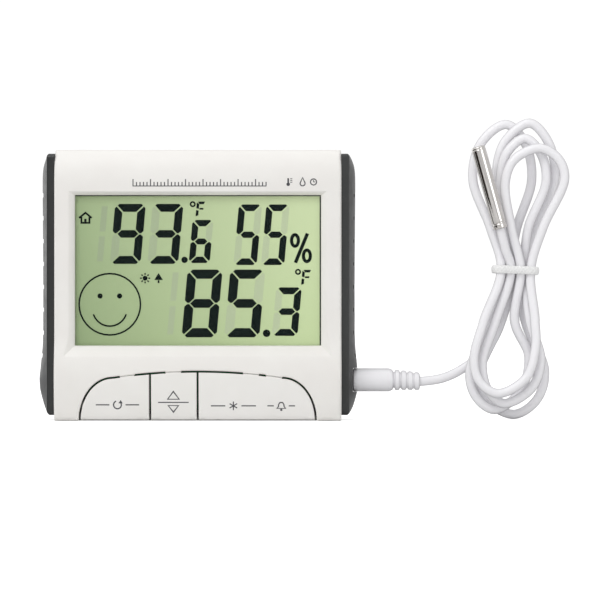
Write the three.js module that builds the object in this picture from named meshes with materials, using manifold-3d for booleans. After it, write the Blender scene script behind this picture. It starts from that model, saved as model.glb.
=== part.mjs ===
// Indoor and outdoor maximum and minimum thermometer with a probe on a coiled lead.
// Millimetres. +X is the reader's right, -Y faces the reader and +Z is up.
// The origin is the middle of the housing's flat base.

import * as THREE from 'three';
import { mergeVertices } from 'three/addons/utils/BufferGeometryUtils.js';
import Module from 'manifold-3d';

const wasm = await Module();
wasm.setup();

// ---- driving dimensions ----

const GAP = 0.1; // between pieces that lie flat on each other

const HOUSING = { halfWidth: 49.9, height: 94.5, wall: 2, seamY: -2.3, backY: 10, backRound: 3 };
const FLAT_Y = -8; // the display face
const CREST = { y: -10, z: 15.5 }; // the furthest point of the lower bulge
const BULGE_TOP_Z = 31;
const BASE_ROLL = 1.4; // how far the bulge draws back at the base
const TOP_ROLL = { startZ: 83, depth: 5.4 };
const SKIN_INNER_Y = -6;
const FRONT_HOLLOW = [ // the front shell's cavity as depth and height, forward of the seam
  [SKIN_INNER_Y, 2], [1, 2], [1, 92.5], [-2, 92.5], [-3.5, 91.6], [-4.8, 89.5], [SKIN_INNER_Y, 86],
];
const FACE_HEIGHTS = [ // where the front's side outline is broken into flats
  0, 4, 8, 12, 15.5, 18, 20.5, 23, 25.5, 28, 31, 83, 86, 88.5, 90.5, 92.2, 93.4, 94.2, 94.5,
];
const ROUND_STEPS = [0, 15, 30, 45, 60, 75, 90]; // degrees at which the top back round is broken

const OPENING = { halfWidth: 42.8, bottom: 26.2, top: 78.5, lipY: -6.6 };
const BEVEL_RUN = { side: 1.5, top: 0.86, bottom: 1.49 }; // mm of run for each mm of depth

const KEYS = { arcTop: 17.2, arcRadius: 196, cornerX: 29.4, cornerRunX: 11.6, cornerRise: 15, slot: 0.7 };
const KEY_SKIN = 2;
const KEY_CUT_Y = -4.3; // the slots are cut this far back, so that a pressed key has room
const KEY_LIP = { backY: -5.3, bottom: 0.35, top: 1.8 }; // the turned-in lower edge of a key
const PRESS_Z = 8; // height of the switches behind the keys
const KEY_LIST = [
  { name: 'left_key', from: -50, to: -16.5, press: -28, webs: [[-26.9, -22.0]] },
  { name: 'middle_key', from: -16.5, to: 0, press: -8.2, webs: [[-11.1, -5.8]] },
  { name: 'right_key', from: 0, to: 50, press: 20, webs: [[15.8, 21.2], [23.7, 29.2]] },
];
const WEB = { rise: 1.4, clearance: 0.15 };
const KEY_PLATE_TOP = 24; // the key plates are cut from a skin that reaches this high
const KEY_RIB = { half: 1.2, halfHeight: 1, backY: -5.1 }; // pushes the plunger behind the key

const WINDOW = { halfWidth: 44.3, bottom: 24.7, top: 80, frontY: -5.9, backY: -4.9 };
const PANEL = { halfWidth: 43.8, bottom: 25.2, top: 79.5, frontY: -4.8, backY: -3.2 };
const PANEL_FRAME = { halfWidth: 45.6, bottom: 23.6, top: 81, bar: 5.1, lowBar: 1.7, highBar: 3.5 };
const PANEL_FRAME_Y = [-2.6, -1.2];
const BOARD = { halfWidth: 45, bottom: 3.5, top: 39.5, frontY: -1, backY: 0.6, notchX: 39.5, notchZ: 10.3 };

const CASE_SCREWS = {
  x: 44, z: [6, 88], headRadius: 2.6, headTop: 8.4, headBase: 6.7, shank: 1.2, tipY: -4.6,
};
const SCREW_CROSS = { reach: 1.6, half: 0.3, floorY: 7.4 };
const FRONT_POST = { radius: 3, bore: 1.4, boreY: -5.2 };
const REAR_POST = { radius: 3.8, headBore: 2.9, bore: 1.5 };
const BOARD_SCREWS = [[-36, 36], [36, 36], [-30, 20], [30, 20]];
const BOARD_SCREW = { headRadius: 1.9, headY: -2.2, shank: 0.9, tipY: 5, hole: 1.2, post: 2.4, bore: 1.05 };
const CONTROLLER = { x: -12, z: 24, profile: [[0, 0], [6, 0], [5.2, 0.7], [3.4, 1.2], [0, 1.5]] };
const CRYSTAL = { x: [2, 8.4], z: 34, radius: 1.1 };
const BUZZER = { x: 21, z: 31, radius: 5.5, backY: 4.2, port: 1, portY: 3 };
const HUMIDITY_SENSOR = { x: [29.4, 35.4], z: [24.6, 31.4], backY: 2.6, rim: [1.2, 1.4], floorY: 2 };
const AIR_SENSOR = { x: 41, y: 3.4, z: 27, radius: 1.2, legGap: 0.6, legHalf: 0.2, legY: 3.2 };
const SWITCH = {
  half: 3, frontY: -4.4, plunger: 1.2, bore: 1.35, tipY: -5, plungerBackY: -3, boreBackY: -2.3,
};

const CELL = { radius: 5.25, length: 44.5, tipX: -24.4, y: 3.1, z: 65.8, nubRadius: 1.9, nubLength: 1 };
const BAY = { halfWidth: 25.5, bottom: 57.5, top: 74.8, wall: 1.5, floorY: [-3, -2.3] };
const DOOR = { halfWidth: 25.2, bottom: 57.8, top: 74.1, frontY: 8.5, hingeY: 9, hingeZ: 73.2 };
const DOOR_RIDGES = { halfWidth: 6, depth: 0.4, height: 0.7, bottoms: [60, 61.4, 62.8] };
const CONTACT = { halfHeight: 4.4, y: [-1.8, 7.4], thickness: 0.5 };
const COIL = { turns: 2.5, wide: 3.2, narrow: 1.6, length: 4, wire: 0.35 };
const STAND = { halfWidth: 20, bottom: 8, hingeZ: 47, hingeY: 8.9, thickness: 1.8, knuckle: 0.95 };
const STAND_SCALLOP = { halfWidth: 13, bottom: 14, top: 40, depth: 0.7 };
const STAND_BAY = { halfWidth: 20.4, bottom: 7.5, top: 49, floorY: 7.4, wall: 1.8 };
const FINGER_NOTCH = { halfWidth: 7, depth: 1.2, below: 3.5 }; // under the stand's free edge
const HINGE_PIN = { radius: 0.55, hole: 0.7, reach: 1.1 };

const KEYHOLE = { z: 83.5, radius: 3.6, slotTop: 88.5, slotHalf: 1.8 };
const VENTS = { x: [27, 38.5], height: 1.2, bottoms: [25, 27.6, 30.2, 32.8] };

const UNIT_SWITCH = { x: -36, z: 66, travel: 2.5, knob: 2.4, slot: 2.8, half: [5, 3.5], frontY: 2.6 };
const UNIT_SLIDER = { frontY: 5.8, backY: 9.3, well: 5.6, side: 0.2, end: 0.15 };

const JACK = { y: 3.7, z: 13.9, fromX: 36, toX: 47.5, half: 3.1, bore: 1.9, nose: 3, hole: 3.25 };
const PLUG = { bodyX: 54.15, bodyEnd: 68.4, bodyRadius: 4.1, reliefEnd: 77.7, ribPitch: 2.3, neck: 2.5 };
const PLUG_NOTCH = { fromX: 54, half: 4.3 }; // the right grip is cut back where the plug butts on it
const PLUG_RIBS = [3.65, 3.5, 3.35, 3.2]; // radius of each strain relief rib
const SHAFT = { tipX: 41, radius: 1.75 };

const CABLE = { radius: 1.65, sides: 8, rings: 190 };
const WAIST = { x: 110.9, z: 52.5, pitch: 3.4, layer: 3.3 };
const PROBE = { low: [105.2, -7.4, 66.8], high: [97.3, -7.4, 95.4], radius: 2.5, bore: 1.85, boreDepth: 2 };
const TIE = { halfX: 7.05, halfY: 5.2, wall: 0.8, height: 2.9, corner: 1.9, tiltDegrees: 2.5 };

const GRIP = {
  frontX: 52.7, frontY: -6.6, frontEase: 0.4, wideY: 2.5, backY: 9.2, backRound: 1.6, plugHole: 2.6,
  grooveDepth: 0.6, grooveHeight: 1.6, grooveBackY: 4.6,
};
const GRIP_FLARE = [[0.25, 0.37], [0.5, 0.67], [0.75, 0.89]]; // share of the way back, share of the way out
const GRIP_ENDS = [[0, 1.3], [0.6, 0.5], [1.6, 0.1]]; // distance from an end, and the retreat of the faces
const GRIP_EDGE = [ // height, and how far the grip stands out from the side of the housing
  [1.9, 2.6], [2.5, 3.1], [3.5, 3.75], [5, 4.4], [7, 5], [9, 5.55], [11, 6], [14.7, 6.2], [18, 5.8],
  [22, 5.4], [26, 5], [31, 4.85], [46, 4.8], [60, 4.88], [81.6, 5.05], [85.5, 5.02], [88.2, 4.8],
  [90, 4.35], [91.4, 3.75], [92.4, 3.25], [93, 2.8],
];
const GROOVES = { count: 8, top: 78.7, pitch: 8.02 };

// ---- materials ----

const finish = (color, roughness, metalness = 0) =>
  new THREE.MeshStandardMaterial({ color, roughness, metalness });
const WHITE = finish(0xe6e3df, 0.5);
const GRIP_GREY = finish(0x5a5e62, 0.75);
const CLEAR = finish(0xf4f6f4, 0.1);
CLEAR.transparent = true;
CLEAR.opacity = 0.3;
const LCD_GREEN = finish(0xb4c89c, 0.35);
const CABLE_WHITE = finish(0xeceaf0, 0.45);
const STEEL = finish(0xc8c6c4, 0.2, 1);
const TIN = finish(0xb8babc, 0.35, 1);
const GREEN_BOARD = finish(0x2c6b46, 0.5);
const BLACK = finish(0x1c1c1e, 0.5);
const CELL_SLEEVE = finish(0x2f6f9a, 0.4);
const ELASTOMER = finish(0xd89a9a, 0.8);

// ---- solids ----

function solid(geometry) {
  geometry.deleteAttribute('normal');
  geometry.deleteAttribute('uv');
  const merged = mergeVertices(geometry, 1e-5);
  return new wasm.Manifold(new wasm.Mesh({
    numProp: 3,
    vertProperties: new Float32Array(merged.attributes.position.array),
    triVerts: new Uint32Array(merged.index.array),
  }));
}

function surface(manifold) {
  const mesh = manifold.getMesh();
  const geometry = new THREE.BufferGeometry();
  geometry.setAttribute('position', new THREE.BufferAttribute(mesh.vertProperties, 3));
  geometry.setIndex(new THREE.BufferAttribute(mesh.triVerts, 1));
  geometry.computeVertexNormals();
  return geometry;
}

const join = (first, ...rest) => rest.reduce((sum, piece) => sum.add(piece), first);
const cut = (first, ...rest) => rest.reduce((left, piece) => left.subtract(piece), first);

function box(x, y, z) {
  const geometry = new THREE.BoxGeometry(x[1] - x[0], y[1] - y[0], z[1] - z[0]);
  geometry.translate((x[0] + x[1]) / 2, (y[0] + y[1]) / 2, (z[0] + z[1]) / 2);
  return solid(geometry);
}

function shapeOf(points) {
  return new THREE.Shape(points.map(([u, v]) => new THREE.Vector2(u, v)));
}

// An outline in X and Z, extruded along Y.
function prismY(points, fromY, toY, bevel = {}) {
  const options = { depth: toY - fromY, bevelEnabled: false, steps: 1, ...bevel };
  const geometry = new THREE.ExtrudeGeometry(shapeOf(points), options);
  geometry.rotateX(Math.PI / 2);
  geometry.translate(0, toY, 0);
  return solid(geometry);
}

// An outline in Y and Z, extruded along X.
function prismX(points, fromX, toX) {
  const geometry = new THREE.ExtrudeGeometry(shapeOf(points), { depth: toX - fromX, bevelEnabled: false });
  geometry.applyMatrix4(new THREE.Matrix4().set(0, 0, 1, fromX, 1, 0, 0, 0, 0, 1, 0, 0, 0, 0, 0, 1));
  return solid(geometry);
}

// A round bar from y0 to y1.
function barY(x, z, radius, y0, y1, sides = 16) {
  const geometry = new THREE.CylinderGeometry(radius, radius, y1 - y0, sides);
  geometry.translate(x, (y0 + y1) / 2, z);
  return solid(geometry);
}

// A round bar from x0 to x1.
function barX(y, z, radius, x0, x1, sides = 16) {
  const geometry = new THREE.CylinderGeometry(radius, radius, x1 - x0, sides);
  geometry.rotateZ(Math.PI / 2);
  geometry.translate((x0 + x1) / 2, y, z);
  return solid(geometry);
}

// A profile of [distance along X, radius], turned about an axis along X.
function turnedX(profile, y, z, segments = 20) {
  const points = profile.map(([along, radius]) => new THREE.Vector2(radius, along));
  const geometry = new THREE.LatheGeometry(points, segments);
  geometry.rotateZ(-Math.PI / 2);
  geometry.translate(0, y, z);
  return solid(geometry);
}

const thermometer = new THREE.Group();

function add(name, manifold, material, parent = thermometer) {
  const mesh = new THREE.Mesh(surface(manifold), material);
  mesh.name = name;
  parent.add(mesh);
  return mesh;
}

// ---- the front face ----

// How far forward the front face stands at each height.
function frontY(z) {
  if (z < CREST.z) {
    const share = (CREST.z - z) / CREST.z;
    return CREST.y + BASE_ROLL * share * share;
  }
  if (z < BULGE_TOP_Z) {
    const share = (z - CREST.z) / (BULGE_TOP_Z - CREST.z);
    return CREST.y + (FLAT_Y - CREST.y) * share * share * (3 - 2 * share);
  }
  if (z < TOP_ROLL.startZ) {
    return FLAT_Y;
  }
  const share = (z - TOP_ROLL.startZ) / (HOUSING.height - TOP_ROLL.startZ);
  return FLAT_Y + TOP_ROLL.depth * (1 - Math.sqrt(1 - share * share));
}

// The top edge of the keys and its corners, moved outwards by grow.
function keyArc(x, grow = 0) {
  return KEYS.arcTop - (x * x) / (2 * KEYS.arcRadius) + grow;
}

function keyOutline(grow, floorZ) {
  const corner = (side, steps) => steps.map((degrees) => {
    const angle = THREE.MathUtils.degToRad(degrees);
    const x = KEYS.cornerX + (KEYS.cornerRunX + grow) * Math.cos(angle);
    return [side * x, (KEYS.cornerRise + grow) * Math.sin(angle)];
  });
  const arc = [20, 10, 0, -10, -20].map((x) => [x, keyArc(x, grow)]);
  const baseX = KEYS.cornerX + KEYS.cornerRunX + grow;
  const base = [[-baseX, floorZ], [baseX, floorZ]];
  return [...base, ...corner(1, [12, 30, 48, 66, 90]), ...arc, ...corner(-1, [90, 66, 48, 30, 12])];
}

function webTop(web) {
  return keyArc((web[0] + web[1]) / 2) + WEB.rise;
}

// The display recess: a rectangle with sloping walls, wider towards the reader.
function recess() {
  const reach = 5;
  const near = OPENING.lipY - reach;
  const far = OPENING.lipY + 0.01;
  const back = [-OPENING.halfWidth, OPENING.halfWidth, OPENING.bottom, OPENING.top];
  const front = [
    back[0] - reach * BEVEL_RUN.side, back[1] + reach * BEVEL_RUN.side,
    back[2] - reach * BEVEL_RUN.bottom, back[3] + reach * BEVEL_RUN.top,
  ];
  const ring = ([left, right, bottom, top], y) => [
    [left, y, bottom], [right, y, bottom], [right, y, top], [left, y, top],
  ];
  const geometry = new THREE.BufferGeometry();
  const corners = [...ring(front, near), ...ring(back, far)].flat();
  geometry.setAttribute('position', new THREE.BufferAttribute(new Float32Array(corners), 3));
  const faces = [[0, 1, 2], [0, 2, 3], [6, 5, 4], [7, 6, 4]];
  for (let i = 0; i < 4; i += 1) {
    const next = (i + 1) % 4;
    faces.push([i, i + 4, next], [next, i + 4, next + 4]);
  }
  geometry.setIndex(faces.flat());
  return solid(geometry);
}

function addFrontShell() {
  const { halfWidth, wall, seamY, height } = HOUSING;
  const face = FACE_HEIGHTS.map((z) => [frontY(z), z]);
  const outer = prismX([[seamY, 0], [seamY, height], ...face.reverse()], -halfWidth, halfWidth);
  let shell = cut(
    outer,
    prismX(FRONT_HOLLOW, wall - halfWidth, halfWidth - wall),
    recess(),
    box([-OPENING.halfWidth, OPENING.halfWidth], [OPENING.lipY - 1, 0], [OPENING.bottom, OPENING.top]),
    prismY(keyOutline(KEYS.slot / 2, -1), -12, KEY_CUT_Y),
  );
  for (const key of KEY_LIST) {
    for (const web of key.webs) {
      const span = [web[0] - WEB.clearance, web[1] + WEB.clearance];
      shell = cut(shell, box(span, [-12, KEY_CUT_Y], [10, webTop(web) + WEB.clearance]));
    }
  }
  for (const x of [-CASE_SCREWS.x, CASE_SCREWS.x]) {
    for (const z of CASE_SCREWS.z) {
      const { radius, bore, boreY } = FRONT_POST;
      const post = cut(barY(x, z, radius, SKIN_INNER_Y - 0.5, seamY), barY(x, z, bore, boreY, 0));
      shell = join(shell, z > TOP_ROLL.startZ ? post.intersect(outer) : post);
    }
  }
  add('front_shell', shell, WHITE);
}

function addKeys() {
  const heights = FACE_HEIGHTS.filter((z) => z < KEY_PLATE_TOP);
  const skin = [
    ...heights.map((z) => [frontY(z), z]),
    ...heights.toReversed().map((z) => [frontY(z) + KEY_SKIN, z]),
  ];
  const plate = prismX(skin, -50, 50);
  const whole = prismY(keyOutline(-KEYS.slot / 2, KEY_LIP.bottom), -12, 0);
  const lip = prismX([
    [frontY(0) + 0.2, KEY_LIP.bottom], [KEY_LIP.backY, KEY_LIP.bottom],
    [KEY_LIP.backY, KEY_LIP.top], [frontY(0) + 0.2, KEY_LIP.top],
  ], -50, 50);
  for (const key of KEY_LIST) {
    const half = KEYS.slot / 2;
    const blank = whole.intersect(box([key.from + half, key.to - half], [-12, 0], [-1, 20]));
    let body = blank;
    for (const web of key.webs) {
      body = join(body, box(web, [-12, 0], [12, webTop(web)]));
    }
    const rib = box(
      [key.press - KEY_RIB.half, key.press + KEY_RIB.half],
      [frontY(PRESS_Z) + 1.5, KEY_RIB.backY],
      [PRESS_Z - KEY_RIB.halfHeight, PRESS_Z + KEY_RIB.halfHeight],
    );
    add(key.name, join(body.intersect(plate), blank.intersect(lip), rib), WHITE);
  }
}

// ---- the display and the board behind it ----

function addDisplay() {
  const sheet = ({ halfWidth, bottom, top, frontY: front, backY }) => box(
    [-halfWidth, halfWidth], [front, backY], [bottom, top],
  );
  add('display_window', sheet(WINDOW), CLEAR);
  add('lcd_panel', sheet(PANEL), LCD_GREEN);
  const { halfWidth, bottom, top, bar, lowBar, highBar } = PANEL_FRAME;
  add('lcd_frame', cut(
    box([-halfWidth, halfWidth], PANEL_FRAME_Y, [bottom, top]),
    box([bar - halfWidth, halfWidth - bar], [-4, 0], [bottom + lowBar, top - highBar]),
  ), BLACK);
  add('zebra_strip', box([-38, 38], [PANEL.backY + GAP, BOARD.frontY - GAP], [25.7, 28]), ELASTOMER);
}

function addBoard() {
  const { halfWidth, bottom, top, frontY: front, backY, notchX, notchZ } = BOARD;
  const outline = [
    [-notchX, bottom], [notchX, bottom], [notchX, notchZ], [halfWidth, notchZ],
    [halfWidth, top], [-halfWidth, top], [-halfWidth, notchZ], [-notchX, notchZ],
  ];
  let board = prismY(outline, front, backY);
  for (const [x, z] of BOARD_SCREWS) {
    board = cut(board, barY(x, z, BOARD_SCREW.hole, -3, 3));
  }
  add('circuit_board', board, GREEN_BOARD);
  BOARD_SCREWS.forEach(([x, z], index) => {
    const head = barY(x, z, BOARD_SCREW.headRadius, BOARD_SCREW.headY, front - GAP / 2, 12);
    const shank = barY(x, z, BOARD_SCREW.shank, front - 0.5, BOARD_SCREW.tipY, 10);
    add(`board_screw_${index + 1}`, join(head, shank), TIN);
  });
}

// What stands on the back of the board.
function addComponents() {
  const onBoard = BOARD.backY + GAP;
  const dome = CONTROLLER.profile.map(([radius, up]) => new THREE.Vector2(radius, up));
  const blob = new THREE.LatheGeometry(dome, 20);
  blob.translate(CONTROLLER.x, onBoard, CONTROLLER.z);
  add('controller', solid(blob), BLACK);

  add('crystal', barX(onBoard + CRYSTAL.radius, CRYSTAL.z, CRYSTAL.radius, ...CRYSTAL.x, 12), TIN);

  add('buzzer', cut(
    barY(BUZZER.x, BUZZER.z, BUZZER.radius, onBoard, BUZZER.backY, 20),
    barY(BUZZER.x, BUZZER.z, BUZZER.port, BUZZER.portY, BUZZER.backY + 1, 10),
  ), BLACK);

  const { x: humidX, z: humidZ, rim, floorY, backY: humidBack } = HUMIDITY_SENSOR;
  add('humidity_sensor', cut(
    box(humidX, [onBoard, humidBack], humidZ),
    box(
      [humidX[0] + rim[0], humidX[1] - rim[0]],
      [floorY, humidBack + 1],
      [humidZ[0] + rim[1], humidZ[1] - rim[1]],
    ),
  ), WHITE);

  const bead = new THREE.SphereGeometry(AIR_SENSOR.radius, 12, 8);
  bead.translate(AIR_SENSOR.x, AIR_SENSOR.y, AIR_SENSOR.z);
  const { x: beadX, legHalf } = AIR_SENSOR;
  const legs = [AIR_SENSOR.z - AIR_SENSOR.legGap, AIR_SENSOR.z + AIR_SENSOR.legGap].map((z) => box(
    [beadX - legHalf, beadX + legHalf], [onBoard, AIR_SENSOR.legY], [z - legHalf, z + legHalf],
  ));
  add('air_sensor', join(solid(bead), ...legs), BLACK);

  const { y: jackY, z: jackZ, fromX, toX, half } = JACK;
  add('jack_socket', cut(
    join(
      box([fromX, toX], [onBoard, jackY + half], [jackZ - half, jackZ + half]),
      barX(jackY, jackZ, JACK.nose, toX - 1, HOUSING.halfWidth - 0.6, 20),
    ),
    barX(jackY, jackZ, JACK.bore, fromX + 0.8, HOUSING.halfWidth + 1, 20),
  ), BLACK);

  for (const key of KEY_LIST) {
    const switchName = key.name.replace('key', 'switch');
    const around = (middle) => [middle - SWITCH.half, middle + SWITCH.half];
    add(`${switchName}_body`, cut(
      box(around(key.press), [SWITCH.frontY, BOARD.frontY - GAP], around(PRESS_Z)),
      barY(key.press, PRESS_Z, SWITCH.bore, SWITCH.tipY, SWITCH.boreBackY, 14),
    ), BLACK);
    const plunger = barY(key.press, PRESS_Z, SWITCH.plunger, SWITCH.tipY, SWITCH.plungerBackY, 14);
    add(`${switchName}_plunger`, plunger, TIN);
  }
}

// ---- the rear shell and what it carries ----

function addRearShell() {
  const { halfWidth, height, wall, seamY, backY, backRound } = HOUSING;
  const round = ROUND_STEPS.map((degrees) => {
    const angle = THREE.MathUtils.degToRad(degrees);
    return [
      backY - backRound * (1 - Math.sin(angle)),
      height - backRound * (1 - Math.cos(angle)),
    ];
  });
  const start = seamY + GAP;
  const side = [[start, 0], [backY - 1, 0], [backY, 1], ...round.reverse(), [start, height]];
  const inner = halfWidth - wall;
  const beyond = backY + 1;
  let shell = cut(
    prismX(side, -halfWidth, halfWidth),
    box([-inner, inner], [-5, backY - wall], [wall, height - wall - 1]),
  );

  const bayWall = BAY.halfWidth + BAY.wall;
  const standWall = STAND_BAY.halfWidth + STAND_BAY.wall;
  const posts = [];
  const bores = [];
  for (const x of [-CASE_SCREWS.x, CASE_SCREWS.x]) {
    for (const z of CASE_SCREWS.z) {
      posts.push(barY(x, z, REAR_POST.radius, start, backY - 1));
      bores.push(barY(x, z, REAR_POST.headBore, CASE_SCREWS.headBase - GAP, beyond));
      bores.push(barY(x, z, REAR_POST.bore, -4, backY));
    }
  }
  for (const [x, z] of BOARD_SCREWS) {
    posts.push(barY(x, z, BOARD_SCREW.post, BOARD.backY + GAP, backY - 1, 12));
    bores.push(barY(x, z, BOARD_SCREW.bore, 0, 6, 10));
  }
  shell = join(
    shell,
    box([-bayWall, bayWall], [BAY.floorY[0], backY - 1], [BAY.bottom - BAY.wall, BAY.top + BAY.wall]),
    box(
      [-standWall, standWall],
      [STAND_BAY.floorY - 1.5, backY - 1],
      [STAND_BAY.bottom - STAND_BAY.wall, STAND_BAY.top + STAND_BAY.wall],
    ),
    ...posts,
  );

  const doorPin = DOOR.halfWidth + HINGE_PIN.reach + 0.4;
  const standPin = STAND.halfWidth + HINGE_PIN.reach + 0.5;
  const { x: switchX, z: switchZ, slot, travel } = UNIT_SWITCH;
  const switchHalf = (travel + slot) / 2;
  const { halfWidth: notch, depth: notchDepth, below } = FINGER_NOTCH;
  shell = cut(
    shell,
    box([-BAY.halfWidth, BAY.halfWidth], [BAY.floorY[1], beyond], [BAY.bottom, BAY.top]),
    box(
      [-STAND_BAY.halfWidth, STAND_BAY.halfWidth],
      [STAND_BAY.floorY, beyond],
      [STAND_BAY.bottom, STAND_BAY.top],
    ),
    box([-notch, notch], [backY - notchDepth, beyond], [STAND_BAY.bottom - below, STAND_BAY.bottom + 1]),
    barY(0, KEYHOLE.z, KEYHOLE.radius, 5, beyond, 20),
    barY(0, KEYHOLE.slotTop, KEYHOLE.slotHalf, 5, beyond, 16),
    box([-KEYHOLE.slotHalf, KEYHOLE.slotHalf], [5, beyond], [KEYHOLE.z, KEYHOLE.slotTop]),
    box([switchX - switchHalf, switchX + switchHalf], [5, beyond], [switchZ - slot / 2, switchZ + slot / 2]),
    barX(JACK.y, JACK.z, JACK.hole, inner - 1, halfWidth + 1, 20),
    barX(DOOR.hingeY, DOOR.hingeZ, HINGE_PIN.hole, -doorPin, doorPin, 12),
    barX(STAND.hingeY, STAND.hingeZ, HINGE_PIN.hole, -standPin, standPin, 12),
    ...VENTS.bottoms.map((z) => box(VENTS.x, [5, beyond], [z, z + VENTS.height])),
    ...bores,
  );
  add('rear_shell', shell, WHITE);
}

function addCaseScrews() {
  const { headRadius, headBase, headTop, shank, tipY } = CASE_SCREWS;
  const { reach, half, floorY } = SCREW_CROSS;
  let number = 0;
  for (const z of CASE_SCREWS.z) {
    for (const x of [-CASE_SCREWS.x, CASE_SCREWS.x]) {
      number += 1;
      const head = barY(x, z, headRadius, headBase, headTop, 16);
      const body = join(head, barY(x, z, shank, tipY, headBase + 0.5, 10));
      const across = box([x - reach, x + reach], [floorY, headTop + 1], [z - half, z + half]);
      const upright = box([x - half, x + half], [floorY, headTop + 1], [z - reach, z + reach]);
      add(`case_screw_${number}`, cut(body, across, upright), TIN);
    }
  }
}

function addDoorAndStand() {
  const { backY } = HOUSING;
  const pinEnd = DOOR.halfWidth + HINGE_PIN.reach + 0.2;
  const pinStart = DOOR.halfWidth - 0.2;
  add('battery_door', cut(
    join(
      box([-DOOR.halfWidth, DOOR.halfWidth], [DOOR.frontY, backY], [DOOR.bottom, DOOR.top]),
      barX(DOOR.hingeY, DOOR.hingeZ, HINGE_PIN.radius, -pinEnd, -pinStart, 12),
      barX(DOOR.hingeY, DOOR.hingeZ, HINGE_PIN.radius, pinStart, pinEnd, 12),
    ),
    ...DOOR_RIDGES.bottoms.map((z) => box(
      [-DOOR_RIDGES.halfWidth, DOOR_RIDGES.halfWidth],
      [backY - DOOR_RIDGES.depth, 12],
      [z, z + DOOR_RIDGES.height],
    )),
  ), WHITE);

  const outerY = STAND.hingeY + STAND.knuckle;
  const half = STAND.halfWidth;
  const standPin = half + HINGE_PIN.reach + 0.2;
  const leaf = box([-half, half], [outerY - STAND.thickness, outerY], [STAND.bottom, STAND.hingeZ - 0.4]);
  const scallop = box(
    [-STAND_SCALLOP.halfWidth, STAND_SCALLOP.halfWidth],
    [outerY - STAND_SCALLOP.depth, 12],
    [STAND_SCALLOP.bottom, STAND_SCALLOP.top],
  );
  add('stand', join(
    cut(leaf, scallop),
    barX(STAND.hingeY, STAND.hingeZ, STAND.knuckle, -half, half, 14),
    barX(STAND.hingeY, STAND.hingeZ, HINGE_PIN.radius, -standPin, standPin, 12),
  ), WHITE);
}

function addUnitSwitch() {
  const { x, z, travel, knob, half, frontY: front } = UNIT_SWITCH;
  const { frontY: sliderFront, backY: sliderBack, well, side, end } = UNIT_SLIDER;
  const wellX = (travel + knob) / 2 + side;
  const wellZ = knob / 2 + end;
  const backY = HOUSING.backY - HOUSING.wall - GAP;
  add('unit_switch_body', cut(
    box([x - half[0], x + half[0]], [front, backY], [z - half[1], z + half[1]]),
    box([x - wellX, x + wellX], [well, backY + 1], [z - wellZ, z + wellZ]),
  ), BLACK);
  const restX = x - travel / 2;
  add('unit_switch_slider', box(
    [restX - knob / 2, restX + knob / 2],
    [sliderFront, sliderBack],
    [z - knob / 2, z + knob / 2],
  ), BLACK);
}

// The conical path of the negative contact's spring.
class Coil extends THREE.Curve {
  getPoint(share) {
    const angle = share * COIL.turns * 2 * Math.PI;
    const radius = COIL.wide + (COIL.narrow - COIL.wide) * share;
    const x = BAY.halfWidth - GAP - 0.4 - share * COIL.length;
    return new THREE.Vector3(x, CELL.y + radius * Math.cos(angle), CELL.z + radius * Math.sin(angle));
  }
}

function addCell() {
  const { tipX, length, nubRadius, nubLength, radius } = CELL;
  const end = tipX + length;
  const shoulder = tipX + nubLength;
  add('battery', turnedX([
    [tipX, 0], [tipX, nubRadius], [shoulder, nubRadius], [shoulder, radius - 0.4], [shoulder + 0.4, radius],
    [end - 0.3, radius], [end, radius - 0.5], [end, 0],
  ], CELL.y, CELL.z, 20), CELL_SLEEVE);

  const far = BAY.halfWidth - GAP;
  const plateZ = [CELL.z - CONTACT.halfHeight, CELL.z + CONTACT.halfHeight];
  const plate = (x0, x1) => box([x0, x1], CONTACT.y, plateZ);
  add('positive_contact', plate(-far, CONTACT.thickness - far), TIN);
  const wire = new THREE.ExtrudeGeometry(circle(COIL.wire, 6), {
    steps: 36, bevelEnabled: false, extrudePath: new Coil(),
  });
  add('negative_contact', join(plate(far - CONTACT.thickness, far), solid(wire)), TIN);
}

function circle(radius, sides) {
  const shape = [];
  for (let i = 0; i < sides; i += 1) {
    const angle = (2 * Math.PI * i) / sides;
    shape.push([radius * Math.cos(angle), radius * Math.sin(angle)]);
  }
  return shapeOf(shape);
}

// ---- the side grips ----

function gripReach(z) {
  const last = GRIP_EDGE.length - 1;
  for (let i = 0; i < last; i += 1) {
    const [low, reachLow] = GRIP_EDGE[i];
    const [high, reachHigh] = GRIP_EDGE[i + 1];
    if (z <= high) {
      return reachLow + ((reachHigh - reachLow) * (z - low)) / (high - low);
    }
  }
  return GRIP_EDGE[last][1];
}

// How far the front face has moved back at a height, near either end of a grip.
function gripRetreat(z) {
  const gap = Math.min(z - GRIP_EDGE[0][0], GRIP_EDGE[GRIP_EDGE.length - 1][0] - z);
  const found = GRIP_ENDS.filter(([distance]) => gap < distance + 0.3);
  return found.length > 0 ? found[0][1] : 0;
}

// A grip's outline at a height, as X and Y. The side flares outwards on its way back.
function gripSection(z) {
  const inner = HOUSING.halfWidth + GAP;
  const edge = HOUSING.halfWidth + gripReach(z);
  const frontX = Math.min(GRIP.frontX, edge - 0.6);
  const frontY = GRIP.frontY + gripRetreat(z);
  const backY = GRIP.backY - gripRetreat(z);
  const { frontEase, wideY, backRound } = GRIP;
  const flareY = frontY + frontEase;
  const flare = GRIP_FLARE.map(([back, out]) => [
    frontX + (edge - frontX) * out, flareY + (wideY - flareY) * back,
  ]);
  return [
    [inner, frontY], [frontX - frontEase, frontY], [frontX, flareY], ...flare, [edge, wideY],
    [edge, backY - backRound], [edge - 0.3 * backRound, backY - 0.3 * backRound],
    [edge - backRound, backY], [inner, backY],
  ];
}

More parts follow.
